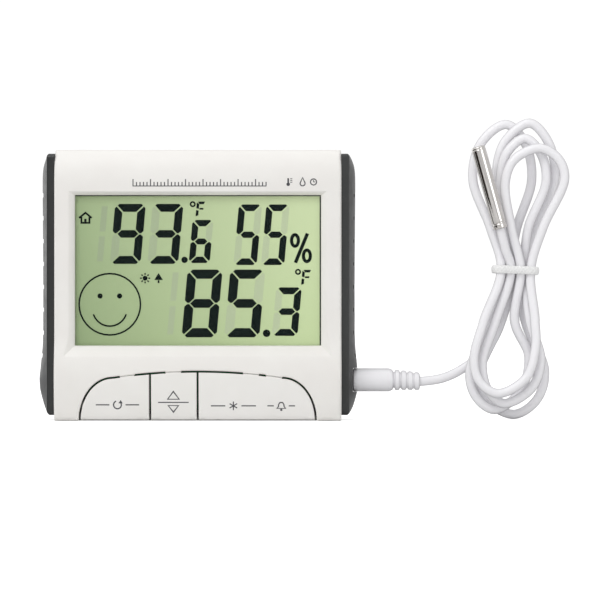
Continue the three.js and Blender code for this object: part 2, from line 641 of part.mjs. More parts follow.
// Outlines of the same number of points, one above another, joined into a solid.
function stacked(levels) {
  const size = levels[0].points.length;
  const positions = levels.flatMap(({ z, points }) => points.flatMap(([x, y]) => [x, y, z]));
  const indices = [];
  for (let level = 0; level < levels.length - 1; level += 1) {
    for (let i = 0; i < size; i += 1) {
      const low = level * size + i;
      const next = level * size + ((i + 1) % size);
      indices.push(low, next, next + size, low, next + size, low + size);
    }
  }
  const top = (levels.length - 1) * size;
  const capOf = ({ points }) => THREE.ShapeUtils.triangulateShape(
    points.map(([x, y]) => new THREE.Vector2(x, y)), [],
  );
  capOf(levels[0]).forEach(([a, b, c]) => indices.push(a, c, b));
  capOf(levels[levels.length - 1]).forEach(([a, b, c]) => indices.push(top + a, top + b, top + c));
  const geometry = new THREE.BufferGeometry();
  geometry.setAttribute('position', new THREE.Float32BufferAttribute(positions, 3));
  geometry.setIndex(indices);
  return solid(geometry);
}

function addGrips() {
  const side = HOUSING.halfWidth;
  const blank = stacked(GRIP_EDGE.map(([z]) => ({ z, points: gripSection(z) })));
  const grooves = [];
  for (let i = 0; i < GROOVES.count; i += 1) {
    const z = GROOVES.top - i * GROOVES.pitch;
    const floor = side + gripReach(z) - GRIP.grooveDepth;
    const half = GRIP.grooveHeight / 2;
    grooves.push(box([floor, floor + 4], [-12, GRIP.grooveBackY], [z - half, z + half]));
  }
  const grip = cut(blank, ...grooves);
  const hole = barX(JACK.y, JACK.z, GRIP.plugHole, side - 1, side + 9, 20);
  const notchZ = [JACK.z - PLUG_NOTCH.half, JACK.z + PLUG_NOTCH.half];
  const notch = box([PLUG_NOTCH.fromX, side + 9], [-12, 12], notchZ);
  add('right_grip', cut(grip, hole, notch), GRIP_GREY);
  add('left_grip', grip.mirror([1, 0, 0]), GRIP_GREY);
}

// ---- the probe and its lead ----

function addPlug() {
  const { bodyX, bodyEnd, bodyRadius, reliefEnd, ribPitch, neck } = PLUG;
  const profile = [
    [bodyX, 0], [bodyX, bodyRadius - 0.6], [bodyX + 0.6, bodyRadius], [bodyEnd - 1.2, bodyRadius],
    [bodyEnd - 0.3, bodyRadius - 0.5], [bodyEnd, neck],
  ];
  PLUG_RIBS.forEach((radius, index) => {
    const start = bodyEnd + index * ribPitch;
    profile.push([start + 0.7, neck], [start + 0.75, radius]);
    profile.push([start + ribPitch - 0.05, radius], [start + ribPitch, neck]);
  });
  profile.push([reliefEnd, 0]);
  add('plug_body', turnedX(profile, JACK.y, JACK.z, 20), CABLE_WHITE);
  const { tipX, radius } = SHAFT;
  add('plug_shaft', turnedX([
    [tipX, 0], [tipX, 0.5], [tipX + 1.6, radius], [tipX + 2.6, radius - 0.5], [tipX + 3.4, radius],
    [bodyX - GAP, radius], [bodyX - GAP, 0],
  ], JACK.y, JACK.z, 20), STEEL);
}

// The places of the nine strands under the tie: column across, layer front to back.
const STRANDS = {
  F1: [-1.5, -1], F2: [-0.5, -1], F3: [0.5, -1], F4: [1.5, -1],
  M1: [-1, 0], M2: [0, 0], M3: [1, 0],
  R1: [-0.5, 1], R2: [0.5, 1],
};

// The run of the cable from the plug to the probe. A strand's name takes it through
// the tie, and each list of five points is a loop: foot, side, crown, side and foot.
const CABLE_RUN = [
  [78.1, 3.7, 13.5], [86, 4.2, 14.6], [94, 5.4, 18.5], [101.8, 6.6, 25], [107.1, 6.7, 36],
  'R1', [[111.8, 4.9, 67], [117.2, 5.3, 84.5], [108.2, 5.3, 103.9], [96.4, 5.3, 85], [102.4, 0.6, 67]],
  'F1', [[99.4, -5.9, 34.4], [96, -6.6, 21], [104.4, -6.6, 9.5], [117.4, -6.6, 25], [117.3, -5.9, 35]],
  'F4', [[120.3, -4.7, 67.5], [127.7, -5.1, 84.3], [119, -5.1, 94.9], [107, -5.1, 83], [109.2, -4.7, 67]],
  'F3', [[110.6, -1.6, 34.4], [115.7, -0.1, 22], [103.7, -0.1, 3.6], [95, -0.1, 16.5], [101.8, -0.1, 34.4]],
  'M1', [[106.2, 1.5, 67], [104.3, 1.9, 84.5], [116.2, 1.9, 104.1], [125, 1.9, 84.5], [118, 2.3, 67]],
  'R2', [[114.8, 3.4, 34.4], [121.6, 3.3, 17], [110.9, 3.3, 1.8], [98.4, 3.3, 15], [106.2, 2.7, 34.4]],
  'M2', [[108.4, -1.3, 67], [105.6, -1.6, 83.5], [114.2, -1.6, 98.5], [121.6, -1.6, 83.5], [115.4, -1.2, 67]],
  'M3', [[115.9, -2.7, 34.4], [119.6, -3.3, 21], [106.6, -3.3, 5.9], [99.2, -3.3, 20], [103.8, -3.3, 34.4]],
  'F2', [107, -5.6, 60],
];
const SHOULDER = { out: 0.74, up: 0.66 }; // where a loop's shoulders are, from its crown and its side

// A loop's five points with a shoulder on each side of its crown.
function roundedLoop([foot, side, crown, farSide, farFoot]) {
  const shoulder = (beside) => [
    crown[0] + SHOULDER.out * (beside[0] - crown[0]),
    (crown[1] + beside[1]) / 2,
    beside[2] + SHOULDER.up * (crown[2] - beside[2]),
  ];
  return [foot, side, shoulder(side), crown, shoulder(farSide), farSide, farFoot];
}

function cablePoints() {
  return CABLE_RUN.flatMap((stop) => {
    if (typeof stop === 'string') {
      const [column, layer] = STRANDS[stop];
      return [[WAIST.x + column * WAIST.pitch, layer * WAIST.layer, WAIST.z]];
    }
    return Array.isArray(stop[0]) ? roundedLoop(stop) : [stop];
  }).map((place) => new THREE.Vector3(...place));
}

function addCable() {
  const low = new THREE.Vector3(...PROBE.low);
  const axis = new THREE.Vector3(...PROBE.high).sub(low).normalize();
  const points = cablePoints();
  points.push(low.clone().addScaledVector(axis, 0.8));
  const path = new THREE.CatmullRomCurve3(points);
  path.arcLengthDivisions = 2000;
  const cable = new THREE.ExtrudeGeometry(circle(CABLE.radius, CABLE.sides), {
    steps: CABLE.rings, bevelEnabled: false, extrudePath: path,
  });
  add('probe_cable', solid(cable), CABLE_WHITE);

  const length = new THREE.Vector3(...PROBE.high).distanceTo(low);
  const { radius, bore, boreDepth } = PROBE;
  const profile = [
    [boreDepth, 0], [boreDepth, bore], [0, bore], [0, radius - 0.2], [0.2, radius],
    [length - 0.7, radius], [length - 0.2, radius - 0.4], [length, radius - 1], [length, 0],
  ];
  const tube = new THREE.LatheGeometry(profile.map(([along, r]) => new THREE.Vector2(r, along)), 20);
  tube.applyQuaternion(new THREE.Quaternion().setFromUnitVectors(new THREE.Vector3(0, 1, 0), axis));
  tube.translate(...PROBE.low);
  add('probe_tube', solid(tube), STEEL);
}

function addTie() {
  const ring = (grow) => {
    const halfX = TIE.halfX + grow;
    const halfY = TIE.halfY + grow;
    const radius = TIE.corner + grow;
    const outline = new THREE.Shape();
    outline.absarc(halfX - radius, halfY - radius, radius, 0, Math.PI / 2);
    outline.absarc(radius - halfX, halfY - radius, radius, Math.PI / 2, Math.PI);
    outline.absarc(radius - halfX, radius - halfY, radius, Math.PI, 1.5 * Math.PI);
    outline.absarc(halfX - radius, radius - halfY, radius, 1.5 * Math.PI, 2 * Math.PI);
    return outline;
  };
  const upright = (depth) => ({ depth, bevelEnabled: false, curveSegments: 5 });
  const outer = new THREE.ExtrudeGeometry(ring(TIE.wall), upright(TIE.height));
  const inner = new THREE.ExtrudeGeometry(ring(0), upright(TIE.height + 2));
  inner.translate(0, 0, -1);
  const band = surface(cut(solid(outer), solid(inner)));
  band.translate(0, 0, -TIE.height / 2);
  const mesh = new THREE.Mesh(band, CABLE_WHITE);
  mesh.name = 'cable_tie';
  mesh.position.set(WAIST.x, 0, WAIST.z);
  mesh.rotation.y = THREE.MathUtils.degToRad(TIE.tiltDegrees);
  thermometer.add(mesh);
}

addFrontShell();
addRearShell();
addGrips();
addKeys();
addDisplay();
addBoard();
addComponents();
addCaseScrews();
addDoorAndStand();
addUnitSwitch();
addCell();
addPlug();
addCable();
addTie();

export default thermometer;
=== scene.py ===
"""Looks of the maximum minimum thermometer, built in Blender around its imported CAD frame.

Lengths are in millimetres until the mesh helpers turn them into metres.
+X is the reader's right, -Y faces the reader and +Z is up.
"""

import math

import bmesh
import bpy
import numpy as np
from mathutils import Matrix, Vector
from mathutils.geometry import delaunay_2d_cdt


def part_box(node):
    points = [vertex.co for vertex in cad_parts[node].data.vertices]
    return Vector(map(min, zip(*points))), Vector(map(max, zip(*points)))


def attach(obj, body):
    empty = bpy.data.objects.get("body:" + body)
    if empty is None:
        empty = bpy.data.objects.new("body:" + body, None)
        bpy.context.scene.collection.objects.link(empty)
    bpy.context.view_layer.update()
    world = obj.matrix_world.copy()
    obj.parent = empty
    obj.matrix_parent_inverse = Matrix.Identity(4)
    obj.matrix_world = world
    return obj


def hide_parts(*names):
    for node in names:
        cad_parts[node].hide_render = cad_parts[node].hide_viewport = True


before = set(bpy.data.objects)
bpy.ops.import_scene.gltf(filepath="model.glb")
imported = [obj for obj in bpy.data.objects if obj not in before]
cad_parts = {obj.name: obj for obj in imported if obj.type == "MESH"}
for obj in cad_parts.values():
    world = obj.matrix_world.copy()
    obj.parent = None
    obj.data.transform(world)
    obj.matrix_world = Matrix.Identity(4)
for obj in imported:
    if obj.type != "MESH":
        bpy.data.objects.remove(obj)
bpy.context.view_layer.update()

MM = 0.001


def node_box(node):
    """A CAD node's lowest and highest corners in millimetres."""
    low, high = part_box(node)
    return low / MM, high / MM


# ---- sizes ----

SHELL_LOW, SHELL_HIGH = node_box("front_shell")
HALF_WIDTH = SHELL_HIGH.x
HEIGHT = SHELL_HIGH.z
SEAM_Y = SHELL_HIGH.y
CREST_Y = SHELL_LOW.y
CREST_Z = 15.5
FLAT_Y = CREST_Y + 2
BULGE_TOP_Z = 31
BASE_ROLL = 1.4
BASE_ROUND = 1.0
TOP_ROLL_Z = 83
TOP_ROLL_DEPTH = 5.4
SKIN, SKIN_Z = 2.0, 6
BASE_SKIN, BASE_SKIN_Z = 0.85, 2
THIN_SKIN = 0.6
EDGE_ROUND = 0.3
SIDE_ROUND = 0.55
SIDE_WALL = 2.0

OPENING_HALF_WIDTH = 42.8
OPENING_BOTTOM = 26.2
OPENING_TOP = 78.5
LIP_Y = -6.6
BEVEL_SIDE = 1.5
BEVEL_TOP = 0.86
BEVEL_BOTTOM = 1.49
RECESS_EASE = 0.16
RECESS_LEVELS = (-0.3, -0.1, 0, 0.1, 0.3)

SLOT = 0.7
KEY_ARC_TOP = 17.2
KEY_ARC_RADIUS = 196
KEY_CORNER_X = 29.4
KEY_CORNER_RUN = 11.6
KEY_CORNER_RISE = 15.0
KEY_SHELL_EDGE_Y = -4.3
WEB_DROP = 0.05
WEB_CLEARANCE = 0.12
WEBS = [(-26.9, -22.0), (-11.1, -5.8), (15.8, 21.2), (23.7, 29.2)]
KEYS_REACH = 50
KEYS = [("left_key", -KEYS_REACH, -16.5), ("middle_key", -16.5, 0), ("right_key", 0, KEYS_REACH)]
KEY_LIP_Y = -5.3
PRESS_X = {"left_key": -28, "middle_key": -8.2, "right_key": 20}
RIB_HALF, RIB_FRONT_Y, RIB_LOW_Z, RIB_HIGH_Z = 1.2, -8.4, 7, 9

LCD_FRONT = node_box("lcd_panel")[0].y

PRINT_LIFT, PRINT_SINK = 0.03, 0.08
MITRE_LIMIT = 0.3


# ---- meshes ----


def link(name, mesh):
    piece = bpy.data.objects.new(name, mesh)
    bpy.context.scene.collection.objects.link(piece)
    return piece


def shade(mesh, sharp_degrees):
    """Smooth shading with edges sharper than the angle left crisp."""
    for polygon in mesh.polygons:
        polygon.use_smooth = True
    mesh.set_sharp_from_angle(angle=math.radians(sharp_degrees))


def mesh_piece(name, points, faces, material, sharp_degrees=40, weld=True):
    """A mesh object from points in millimetres."""
    mesh = bpy.data.meshes.new(name)
    mesh.from_pydata([Vector(p) * MM for p in points], [], faces)
    tidy = bmesh.new()
    tidy.from_mesh(mesh)
    if weld:
        bmesh.ops.remove_doubles(tidy, verts=tidy.verts, dist=0.0005 * MM)
    bmesh.ops.recalc_face_normals(tidy, faces=tidy.faces)
    tidy.to_mesh(mesh)
    tidy.free()
    shade(mesh, sharp_degrees)
    mesh.materials.append(material)
    return link(name, mesh)


def settle(piece, body, slot, *nodes):
    """Rides the piece on its body and hides the CAD nodes it stands for. The slot it is given is not used."""
    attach(piece, body)
    if nodes:
        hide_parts(*nodes)
    return piece


# ---- materials ----


class Shader:
    """A Principled material whose nodes are made one by one."""

    def __init__(self, name):
        self.material = bpy.data.materials.new(name)
        self.material.use_nodes = True
        self.nodes = self.material.node_tree.nodes
        self.links = self.material.node_tree.links
        self.surface = self.nodes["Principled BSDF"]
        self.place = self.nodes.new("ShaderNodeNewGeometry").outputs["Position"]

    def set(self, **values):
        for key, value in values.items():
            self.surface.inputs[key.replace("_", " ")].default_value = value
        return self

    def noise(self, scale_mm, detail=2.0, roughness=0.5):
        node = self.nodes.new("ShaderNodeTexNoise")
        node.inputs["Scale"].default_value = 1 / (scale_mm * MM)
        node.inputs["Detail"].default_value = detail
        node.inputs["Roughness"].default_value = roughness
        self.links.new(self.place, node.inputs["Vector"])
        return node.outputs["Fac"]

    def spread(self, value, low, high, from_low=0.3, from_high=0.7):
        node = self.nodes.new("ShaderNodeMapRange")
        node.inputs["From Min"].default_value = from_low
        node.inputs["From Max"].default_value = from_high
        node.inputs["To Min"].default_value = low
        node.inputs["To Max"].default_value = high
        self.links.new(value, node.inputs["Value"])
        return node.outputs["Result"]

    def blend(self, value, first, second):
        node = self.nodes.new("ShaderNodeMix")
        node.data_type = "RGBA"
        self.links.new(value, node.inputs[0])
        for socket, colour in ((node.inputs[6], first), (node.inputs[7], second)):
            if isinstance(colour, bpy.types.NodeSocket):
                self.links.new(colour, socket)
            else:
                socket.default_value = (*colour, 1)
        return node.outputs[2]

    def into(self, value, socket):
        self.links.new(value, self.surface.inputs[socket])
        return self

    def drift(self, scale_mm, first, second, detail=2):
        """A colour that wanders between two."""
        return self.blend(self.spread(self.noise(scale_mm, detail), 0, 1), first, second)

    def gloss(self, scale_mm, low, high, detail=3):
        """Roughness that wanders between two values."""
        return self.into(self.spread(self.noise(scale_mm, detail), low, high), "Roughness")

    def bump(self, value, depth_mm, strength=1.0):
        node = self.nodes.new("ShaderNodeBump")
        node.inputs["Distance"].default_value = depth_mm * MM
        node.inputs["Strength"].default_value = strength
        self.links.new(value, node.inputs["Height"])
        self.links.new(node.outputs["Normal"], self.surface.inputs["Normal"])
        return self


def linear(red, green, blue):
    """An sRGB colour out of 255 as linear values."""
    return tuple(((v / 255) ** 2.2) for v in (red, green, blue))


def moulded(name, low, high, roughness, grain_mm=0.22, grain_depth=0.006, patch_mm=14):
    """Moulded plastic or rubber: slow colour drift, fine grain and uneven gloss."""
    shader = Shader(name)
    shader.into(shader.drift(patch_mm, low, high, 3), "Base Color")
    shader.gloss(3.1, roughness - 0.05, roughness + 0.05)
    shader.bump(shader.noise(grain_mm, 2, 0.6), grain_depth, 0.6)
    return shader


def sheath(name, low, high, roughness):
    """Soft moulded plastic with painted shade: its colour is darkened where its surface turns away from view.
    """
    shader = moulded(name, low, high, roughness, 0.5)
    turned = shader.nodes.new("ShaderNodeLayerWeight")
    turned.inputs["Blend"].default_value = 0.5
    share = shader.spread(turned.outputs["Facing"], 0, 1, 0.25, 1.0)
    plain = shader.surface.inputs["Base Color"].links[0].from_socket
    # painted shade: the colour blends towards a darker copy where the surface turns away from view
    shader.into(shader.blend(share, plain, tuple(0.55 * v for v in low)), "Base Color")
    return shader


def metal(name, low, high, roughness, streak_mm=0.4):
    """Bare metal with fine streaks in its gloss."""
    shader = Shader(name).set(Metallic=1.0)
    shader.into(shader.drift(5, low, high, 3), "Base Color")
    return shader.gloss(streak_mm, roughness * 0.75, roughness * 1.3, 4)


def gradient_along(shader, axis, from_mm, to_mm):
    """0 to 1 between two places along one axis."""
    split = shader.nodes.new("ShaderNodeSeparateXYZ")
    shader.links.new(shader.place, split.inputs["Vector"])
    return shader.spread(split.outputs[axis], 0, 1, from_mm * MM, to_mm * MM)


HOUSING_WHITE = moulded("housing_white", linear(236, 233, 229), linear(239, 237, 233), 0.46).material
KEY_WHITE = moulded("key_white", linear(237, 235, 231), linear(240, 238, 235), 0.42).material
GRIP_GREY = moulded("grip_grey", linear(47, 48, 48), linear(53, 54, 54), 0.36, 0.3, 0.008, 9).material
BLACK_PLASTIC = moulded("black_plastic", linear(26, 26, 28), linear(34, 34, 36), 0.45).material
SENSOR_WHITE = moulded("sensor_white", linear(228, 228, 224), linear(236, 236, 232), 0.5).material
BOARD_GREEN = moulded("board_green", linear(28, 92, 56), linear(36, 106, 66), 0.35, 0.5, 0.01, 6).material
ELASTOMER = moulded("elastomer", linear(196, 132, 132), linear(208, 148, 146), 0.7).material
CELL_SLEEVE = moulded("cell_sleeve", linear(38, 92, 138), linear(44, 104, 150), 0.32, 0.5, 0.003).material
CABLE_WHITE = sheath("cable_white", linear(241, 240, 243), linear(245, 244, 247), 0.36).material
TIE_WHITE = moulded("tie_white", linear(236, 236, 236), linear(244, 244, 243), 0.8, 0.18, 0.05, 3).material
STEEL = metal("polished_steel", linear(214, 210, 206), linear(224, 221, 218), 0.1).material
TIN = metal("tinned_metal", linear(196, 197, 199), linear(208, 209, 211), 0.3).material
INK = moulded("print_ink", linear(72, 72, 76), linear(82, 82, 86), 0.5).material
SEGMENT_SHADER = moulded("segment_ink", linear(10, 22, 20), linear(18, 31, 29), 0.5, 0.5, 0.001)
SEGMENT_INK = SEGMENT_SHADER.set(Specular_IOR_Level=0.08).material


def lcd_material():
    """The reflective LCD with painted shading, darker low on the left and lighter to the upper right, and its
    faint mottling.
    """
    shader = Shader("lcd_green")
    # painted shading: the colour grows lighter to the right and upwards
    across = gradient_along(shader, "X", -45, 45)
    up = gradient_along(shader, "Z", 24, 80)
    low = shader.blend(across, linear(151, 174, 126), linear(214, 234, 176))
    high = shader.blend(across, linear(168, 190, 141), linear(223, 240, 188))
    base = shader.blend(up, low, high)
    mottled = shader.blend(shader.spread(shader.noise(0.35, 2), 0.0, 0.07), base, linear(225, 235, 205))
    shader.into(mottled, "Base Color")
    shader.gloss(2.5, 0.34, 0.44)
    shader.bump(shader.noise(0.2, 2), 0.002, 0.5)
    return shader.material


def ghost_material():
    """Segments that are switched off: a faint grey tint over the LCD, with the same painted shading, darker
    on the left.
    """
    shader = Shader("ghost_segments")
    # painted shading: darker on the left, lighter on the right, as on the LCD
    across = gradient_along(shader, "X", -45, 45)
    base = shader.blend(across, linear(155, 174, 134), linear(209, 225, 180))
    mottled = shader.blend(shader.spread(shader.noise(0.6, 2), 0, 0.3), base, linear(186, 192, 176))
    shader.into(mottled, "Base Color")
    return shader.gloss(2.5, 0.36, 0.44).material


def window_material():
    shader = Shader("clear_window").set(Alpha=0.03, IOR=1.49)
    shader.into(shader.drift(8, linear(84, 90, 86), linear(76, 82, 78)), "Base Color")
    return shader.gloss(6, 0.03, 0.07).material


LCD_GREEN = lcd_material()
GHOST_GREY = ghost_material()
CLEAR = window_material()


# ---- the front face ----


def eased(share):
    """A share from 0 to 1 that starts and ends gently."""
    return share * share * (3 - 2 * share)


def front_y(z):
    """How far forward the front face stands at each height."""
    z = np.asarray(z, float)
    low = CREST_Y + BASE_ROLL * ((CREST_Z - z) / CREST_Z) ** 2
    share = np.clip((z - CREST_Z) / (BULGE_TOP_Z - CREST_Z), 0, 1)
    ledge = CREST_Y + (FLAT_Y - CREST_Y) * eased(share)
    roll = np.clip((z - TOP_ROLL_Z) / (HEIGHT - TOP_ROLL_Z), 0, 1)
    top = FLAT_Y + TOP_ROLL_DEPTH * (1 - np.sqrt(1 - roll * roll))
    return np.where(z < CREST_Z, low, np.where(z < TOP_ROLL_Z, ledge, top))


class Profile:
    """The front's side outline, from under the base, up the face and over the top."""

    def __init__(self, base_z, start_y, end_z=HEIGHT):
        corner_z = base_z + BASE_ROUND
        corner_y = float(front_y(corner_z)) + BASE_ROUND
        angles = np.radians(np.linspace(0, 90, 9))
        corner = [(corner_y - BASE_ROUND * math.sin(a), corner_z - BASE_ROUND * math.cos(a)) for a in angles]
        face = [(float(front_y(z)), z) for z in np.arange(corner_z + 0.25, min(end_z, TOP_ROLL_Z), 0.25)]
        points = [(start_y, base_z), *corner, *face]
        if end_z > TOP_ROLL_Z:
            roll_height = HEIGHT - TOP_ROLL_Z
            for angle in np.radians(np.linspace(0, 90, 40)):
                y = FLAT_Y + TOP_ROLL_DEPTH * (1 - math.cos(angle))
                points.append((y, TOP_ROLL_Z + roll_height * math.sin(angle)))
            points.append((SEAM_Y, HEIGHT))
        self.points = np.array(points)
        steps = np.linalg.norm(np.diff(self.points, axis=0), axis=1)
        self.length = np.concatenate([[0], np.cumsum(steps)])
        tangent = np.gradient(self.points, self.length, axis=0)
        tangent /= np.linalg.norm(tangent, axis=1)[:, None]
        self.inward = np.stack([tangent[:, 1], -tangent[:, 0]], axis=1)

    def at(self, s):
        """Y and Z at a length along the outline, and the direction into the wall."""
        y = np.interp(s, self.length, self.points[:, 0])
        z = np.interp(s, self.length, self.points[:, 1])
        ny = np.interp(s, self.length, self.inward[:, 0])
        nz = np.interp(s, self.length, self.inward[:, 1])
        return np.stack([y, z], 1), np.stack([ny, nz], 1)

    def along(self, z):
        """The length along the outline at a height on the face."""
        return float(np.interp(z, self.points[1:, 1], self.length[1:]))

    def under(self, y):
        """The length along the outline at a depth on the underside."""
        return self.points[0, 0] - y


def divide(loop, step):
    """A closed loop with extra points, so that no two are further apart than step."""
    result = []
    for i, start in enumerate(loop):
        end = loop[(i + 1) % len(loop)]
        gap = math.dist(start, end)
        count = max(1, math.ceil(gap / step))
        for k in range(count):
            t = k / count
            result.append((start[0] + (end[0] - start[0]) * t, start[1] + (end[1] - start[1]) * t))
    return result


def inside(points, loop):
    """Which points lie inside a closed loop."""
    loop = np.asarray(loop)
    x, y = points[:, 0], points[:, 1]
    hit = np.zeros(len(points), bool)
    for (x0, y0), (x1, y1) in zip(loop, np.roll(loop, -1, axis=0)):
        if y0 == y1:
            continue
        crosses = (y0 > y) != (y1 > y)
        hit ^= crosses & (x < (x1 - x0) * (y - y0) / (y1 - y0) + x0)
    return hit


def distance(points, loops):
    """How far each point is from the nearest loop."""
    nearest = np.full(len(points), np.inf)
    for loop in loops:
        loop = np.asarray(loop)
        for start, end in zip(loop, np.roll(loop, -1, axis=0)):
            step = end - start
            size = step @ step
            if size == 0:
                continue
            t = np.clip(((points - start) @ step) / size, 0, 1)
            gap = np.linalg.norm(points - (start + t[:, None] * step), axis=1)
            nearest = np.minimum(nearest, gap)
    return nearest


def rows_beside(loop, offsets):
    """Points beside a loop at each offset, on both sides."""
    loop = np.asarray(loop)
    ahead = np.roll(loop, -1, axis=0)
    direction = ahead - loop
    size = np.linalg.norm(direction, axis=1)
    keep = size > 1e-9
    middle = ((loop + ahead) / 2)[keep]
    normal = np.stack([-direction[:, 1], direction[:, 0]], 1)[keep] / size[keep, None]
    return [middle + side * offset * normal for offset in offsets for side in (-1, 1)]


# rows of points beside each rim, and how far the filling keeps from rims and lines
ROUND_STEPS = [0.06, 0.16, 0.32, 0.55]
RIM_MARGIN, LINE_MARGIN = 0.8, 0.5


def triangulate(rim, holes, lines, grid):
    """Fills the region between rim and holes. Lines become edges, and grid points fill the rest."""
    loops = [rim, *holes]
    verts = []
    edges = []
    for loop in loops:
        start = len(verts)
        verts += loop
        edges += [(start + i, start + (i + 1) % len(loop)) for i in range(len(loop))]
    for line in lines:
        start = len(verts)
        verts += line
        edges += [(start + i, start + i + 1) for i in range(len(line) - 1)]
    extra = []
    for loop in loops:
        for rank, row in enumerate(rows_beside(loop, ROUND_STEPS)):
            extra.append(row[distance(row, loops) > 0.9 * ROUND_STEPS[rank // 2]])
    grid = grid[distance(grid, loops) > RIM_MARGIN]
    if lines:
        open_lines = [np.asarray(line + line[-2:0:-1]) for line in lines]
        grid = grid[distance(grid, open_lines) > LINE_MARGIN]
    extra.append(grid)
    cloud = np.concatenate(extra)
    cloud = cloud[inside(cloud, rim)]
    for hole in holes:
        cloud = cloud[~inside(cloud, hole)]
    verts += [tuple(p) for p in cloud]
    found, _, faces, *_ = delaunay_2d_cdt([Vector(v) for v in verts], edges, [], 0, 1e-4)
    found = np.array([tuple(v) for v in found])
    faces = np.array([f for f in faces if len(f) == 3])
    centre = found[faces].mean(axis=1)
    keep = inside(centre, rim)
    for hole in holes:
        keep &= ~inside(centre, hole)
    return found, faces[keep]


def round_drop(gap, radius):
    """How far a rounded edge has fallen away at a distance from it."""
    reach = np.clip(radius - gap, 0, radius)
    return radius - np.sqrt(radius * radius - reach * reach)


def border_edges(faces):
    """The edges that belong to one triangle, in that triangle's direction."""
    seen = dict.fromkeys(edge for a, b, c in faces for edge in ((a, b), (b, c), (c, a)))
    return [edge for edge in seen if (edge[1], edge[0]) not in seen]


def skin_piece(name, profile, rim, holes, lines, grid, material, carve=None, wall_to=None):
    """A moulded skin that follows the front face, with rounded edges at its rim and holes.

    carve gives how far back the face is sunk at each X and Z. wall_to gives the Y that
    side walls run back to from the rim's left and right edges.
    """
    flat, faces = triangulate(rim, holes, lines, grid)
    x = flat[:, 0]
    base, inward = profile.at(flat[:, 1])
    if wall_to is None:
        drop = round_drop(distance(flat, [rim, *holes]), EDGE_ROUND)
    else:
        drop = round_drop(distance(flat, holes), EDGE_ROUND)
        drop = np.maximum(drop, round_drop(HALF_WIDTH - np.abs(x), SIDE_ROUND))
    outer = base + inward * drop[:, None]
    risen = np.clip((base[:, 1] - BASE_SKIN_Z) / (SKIN_Z - BASE_SKIN_Z), 0, 1)
    skin = BASE_SKIN + (SKIN - BASE_SKIN) * risen
    inner = base + inward * skin[:, None]
    if carve is not None:
        outer[:, 0] += carve(x, base[:, 1])
        inner[:, 0] = np.maximum(inner[:, 0], outer[:, 0] + THIN_SKIN)
    inner_x = x.copy()
    if wall_to is not None:
        start = HALF_WIDTH - 2 * SIDE_WALL
        beyond = np.clip(np.abs(x) - start, 0, None)
        inner_x = np.sign(x) * (np.minimum(np.abs(x), start) + beyond / 2)
    count = len(flat)
    points = [(px, py, pz) for px, (py, pz) in zip(x, outer)]
    points += [(px, py, pz) for px, (py, pz) in zip(inner_x, inner)]
    quads = [tuple(f) for f in faces]
    quads += [(a + count, c + count, b + count) for a, b, c in faces]
    side = {}

    def side_points(i):
        if i not in side:
            side[i] = len(points)
            points.append((x[i], wall_to, outer[i, 1]))
            points.append((inner_x[i], wall_to, inner[i, 1]))
        return side[i]

    for a, b in border_edges(faces):
        on_side = wall_to is not None and min(abs(x[a]), abs(x[b])) > HALF_WIDTH - 1e-4
        if on_side:
            pa, pb = side_points(a), side_points(b)
            quads += [(b, a, pa, pb), (pb, pa, pa + 1, pb + 1), (pb + 1, pa + 1, a + count, b + count)]
        else:
            quads.append((b, a, a + count, b + count))
    return mesh_piece(name, points, quads, material, 38)


def corner_edge(grow):
    """X stations from the keys' lower right corner to the start of the arc."""
    return [KEY_CORNER_X + (KEY_CORNER_RUN + grow) * math.cos(math.radians(a)) for a in range(0, 90, 5)]


def key_top(x, grow):
    """The height of the keys' outline at x, moved outwards by grow."""
    beyond = abs(x) - KEY_CORNER_X
    if beyond > 0:
        share = min(1.0, beyond / (KEY_CORNER_RUN + grow))
        return (KEY_CORNER_RISE + grow) * math.sqrt(1 - share * share)
    return KEY_ARC_TOP - x * x / (2 * KEY_ARC_RADIUS) + grow


def key_outline(grow, clearance, left, right, profile, low_s):
    """The keys' outline between left and right, with the slot closed up at each flexing web."""
    limit = KEY_CORNER_X + KEY_CORNER_RUN + grow
    left, right = max(left, -limit), min(right, limit)
    corner = corner_edge(grow)
    stations = {*corner, *(-c for c in corner), *np.arange(-29, 29.5, 1.0), left, right}
    hair = 1e-3
    for low, high in WEBS:
        stations |= {low - clearance - hair, low - clearance, high + clearance, high + clearance + hair}
    edge = []
    for x in sorted((v for v in stations if left <= v <= right), reverse=True):
        in_web = any(low - clearance <= x <= high + clearance for low, high in WEBS)
        z = key_top(x, clearance - WEB_DROP if in_web else grow)
        edge.append((x, profile.along(z) if z > 0 else profile.along(profile.points[0, 1])))
    return [(left, low_s), (right, low_s), *edge]


def recess_gap(z):
    """How far forward of the display lip the face stands."""
    return LIP_Y - front_y(z)


def recess_depth(x, z):
    """How far the display recess is sunk below the face, with its outer edge eased."""
    out = np.maximum.reduce([
        np.clip(np.abs(x) - OPENING_HALF_WIDTH, 0, None) / BEVEL_SIDE,
        np.clip(z - OPENING_TOP, 0, None) / BEVEL_TOP,
        np.clip(OPENING_BOTTOM - z, 0, None) / BEVEL_BOTTOM,
    ])
    sunk = recess_gap(z) - out
    return np.where(sunk > -2, 0.5 * (sunk + np.sqrt(sunk * sunk + RECESS_EASE * RECESS_EASE)), 0)


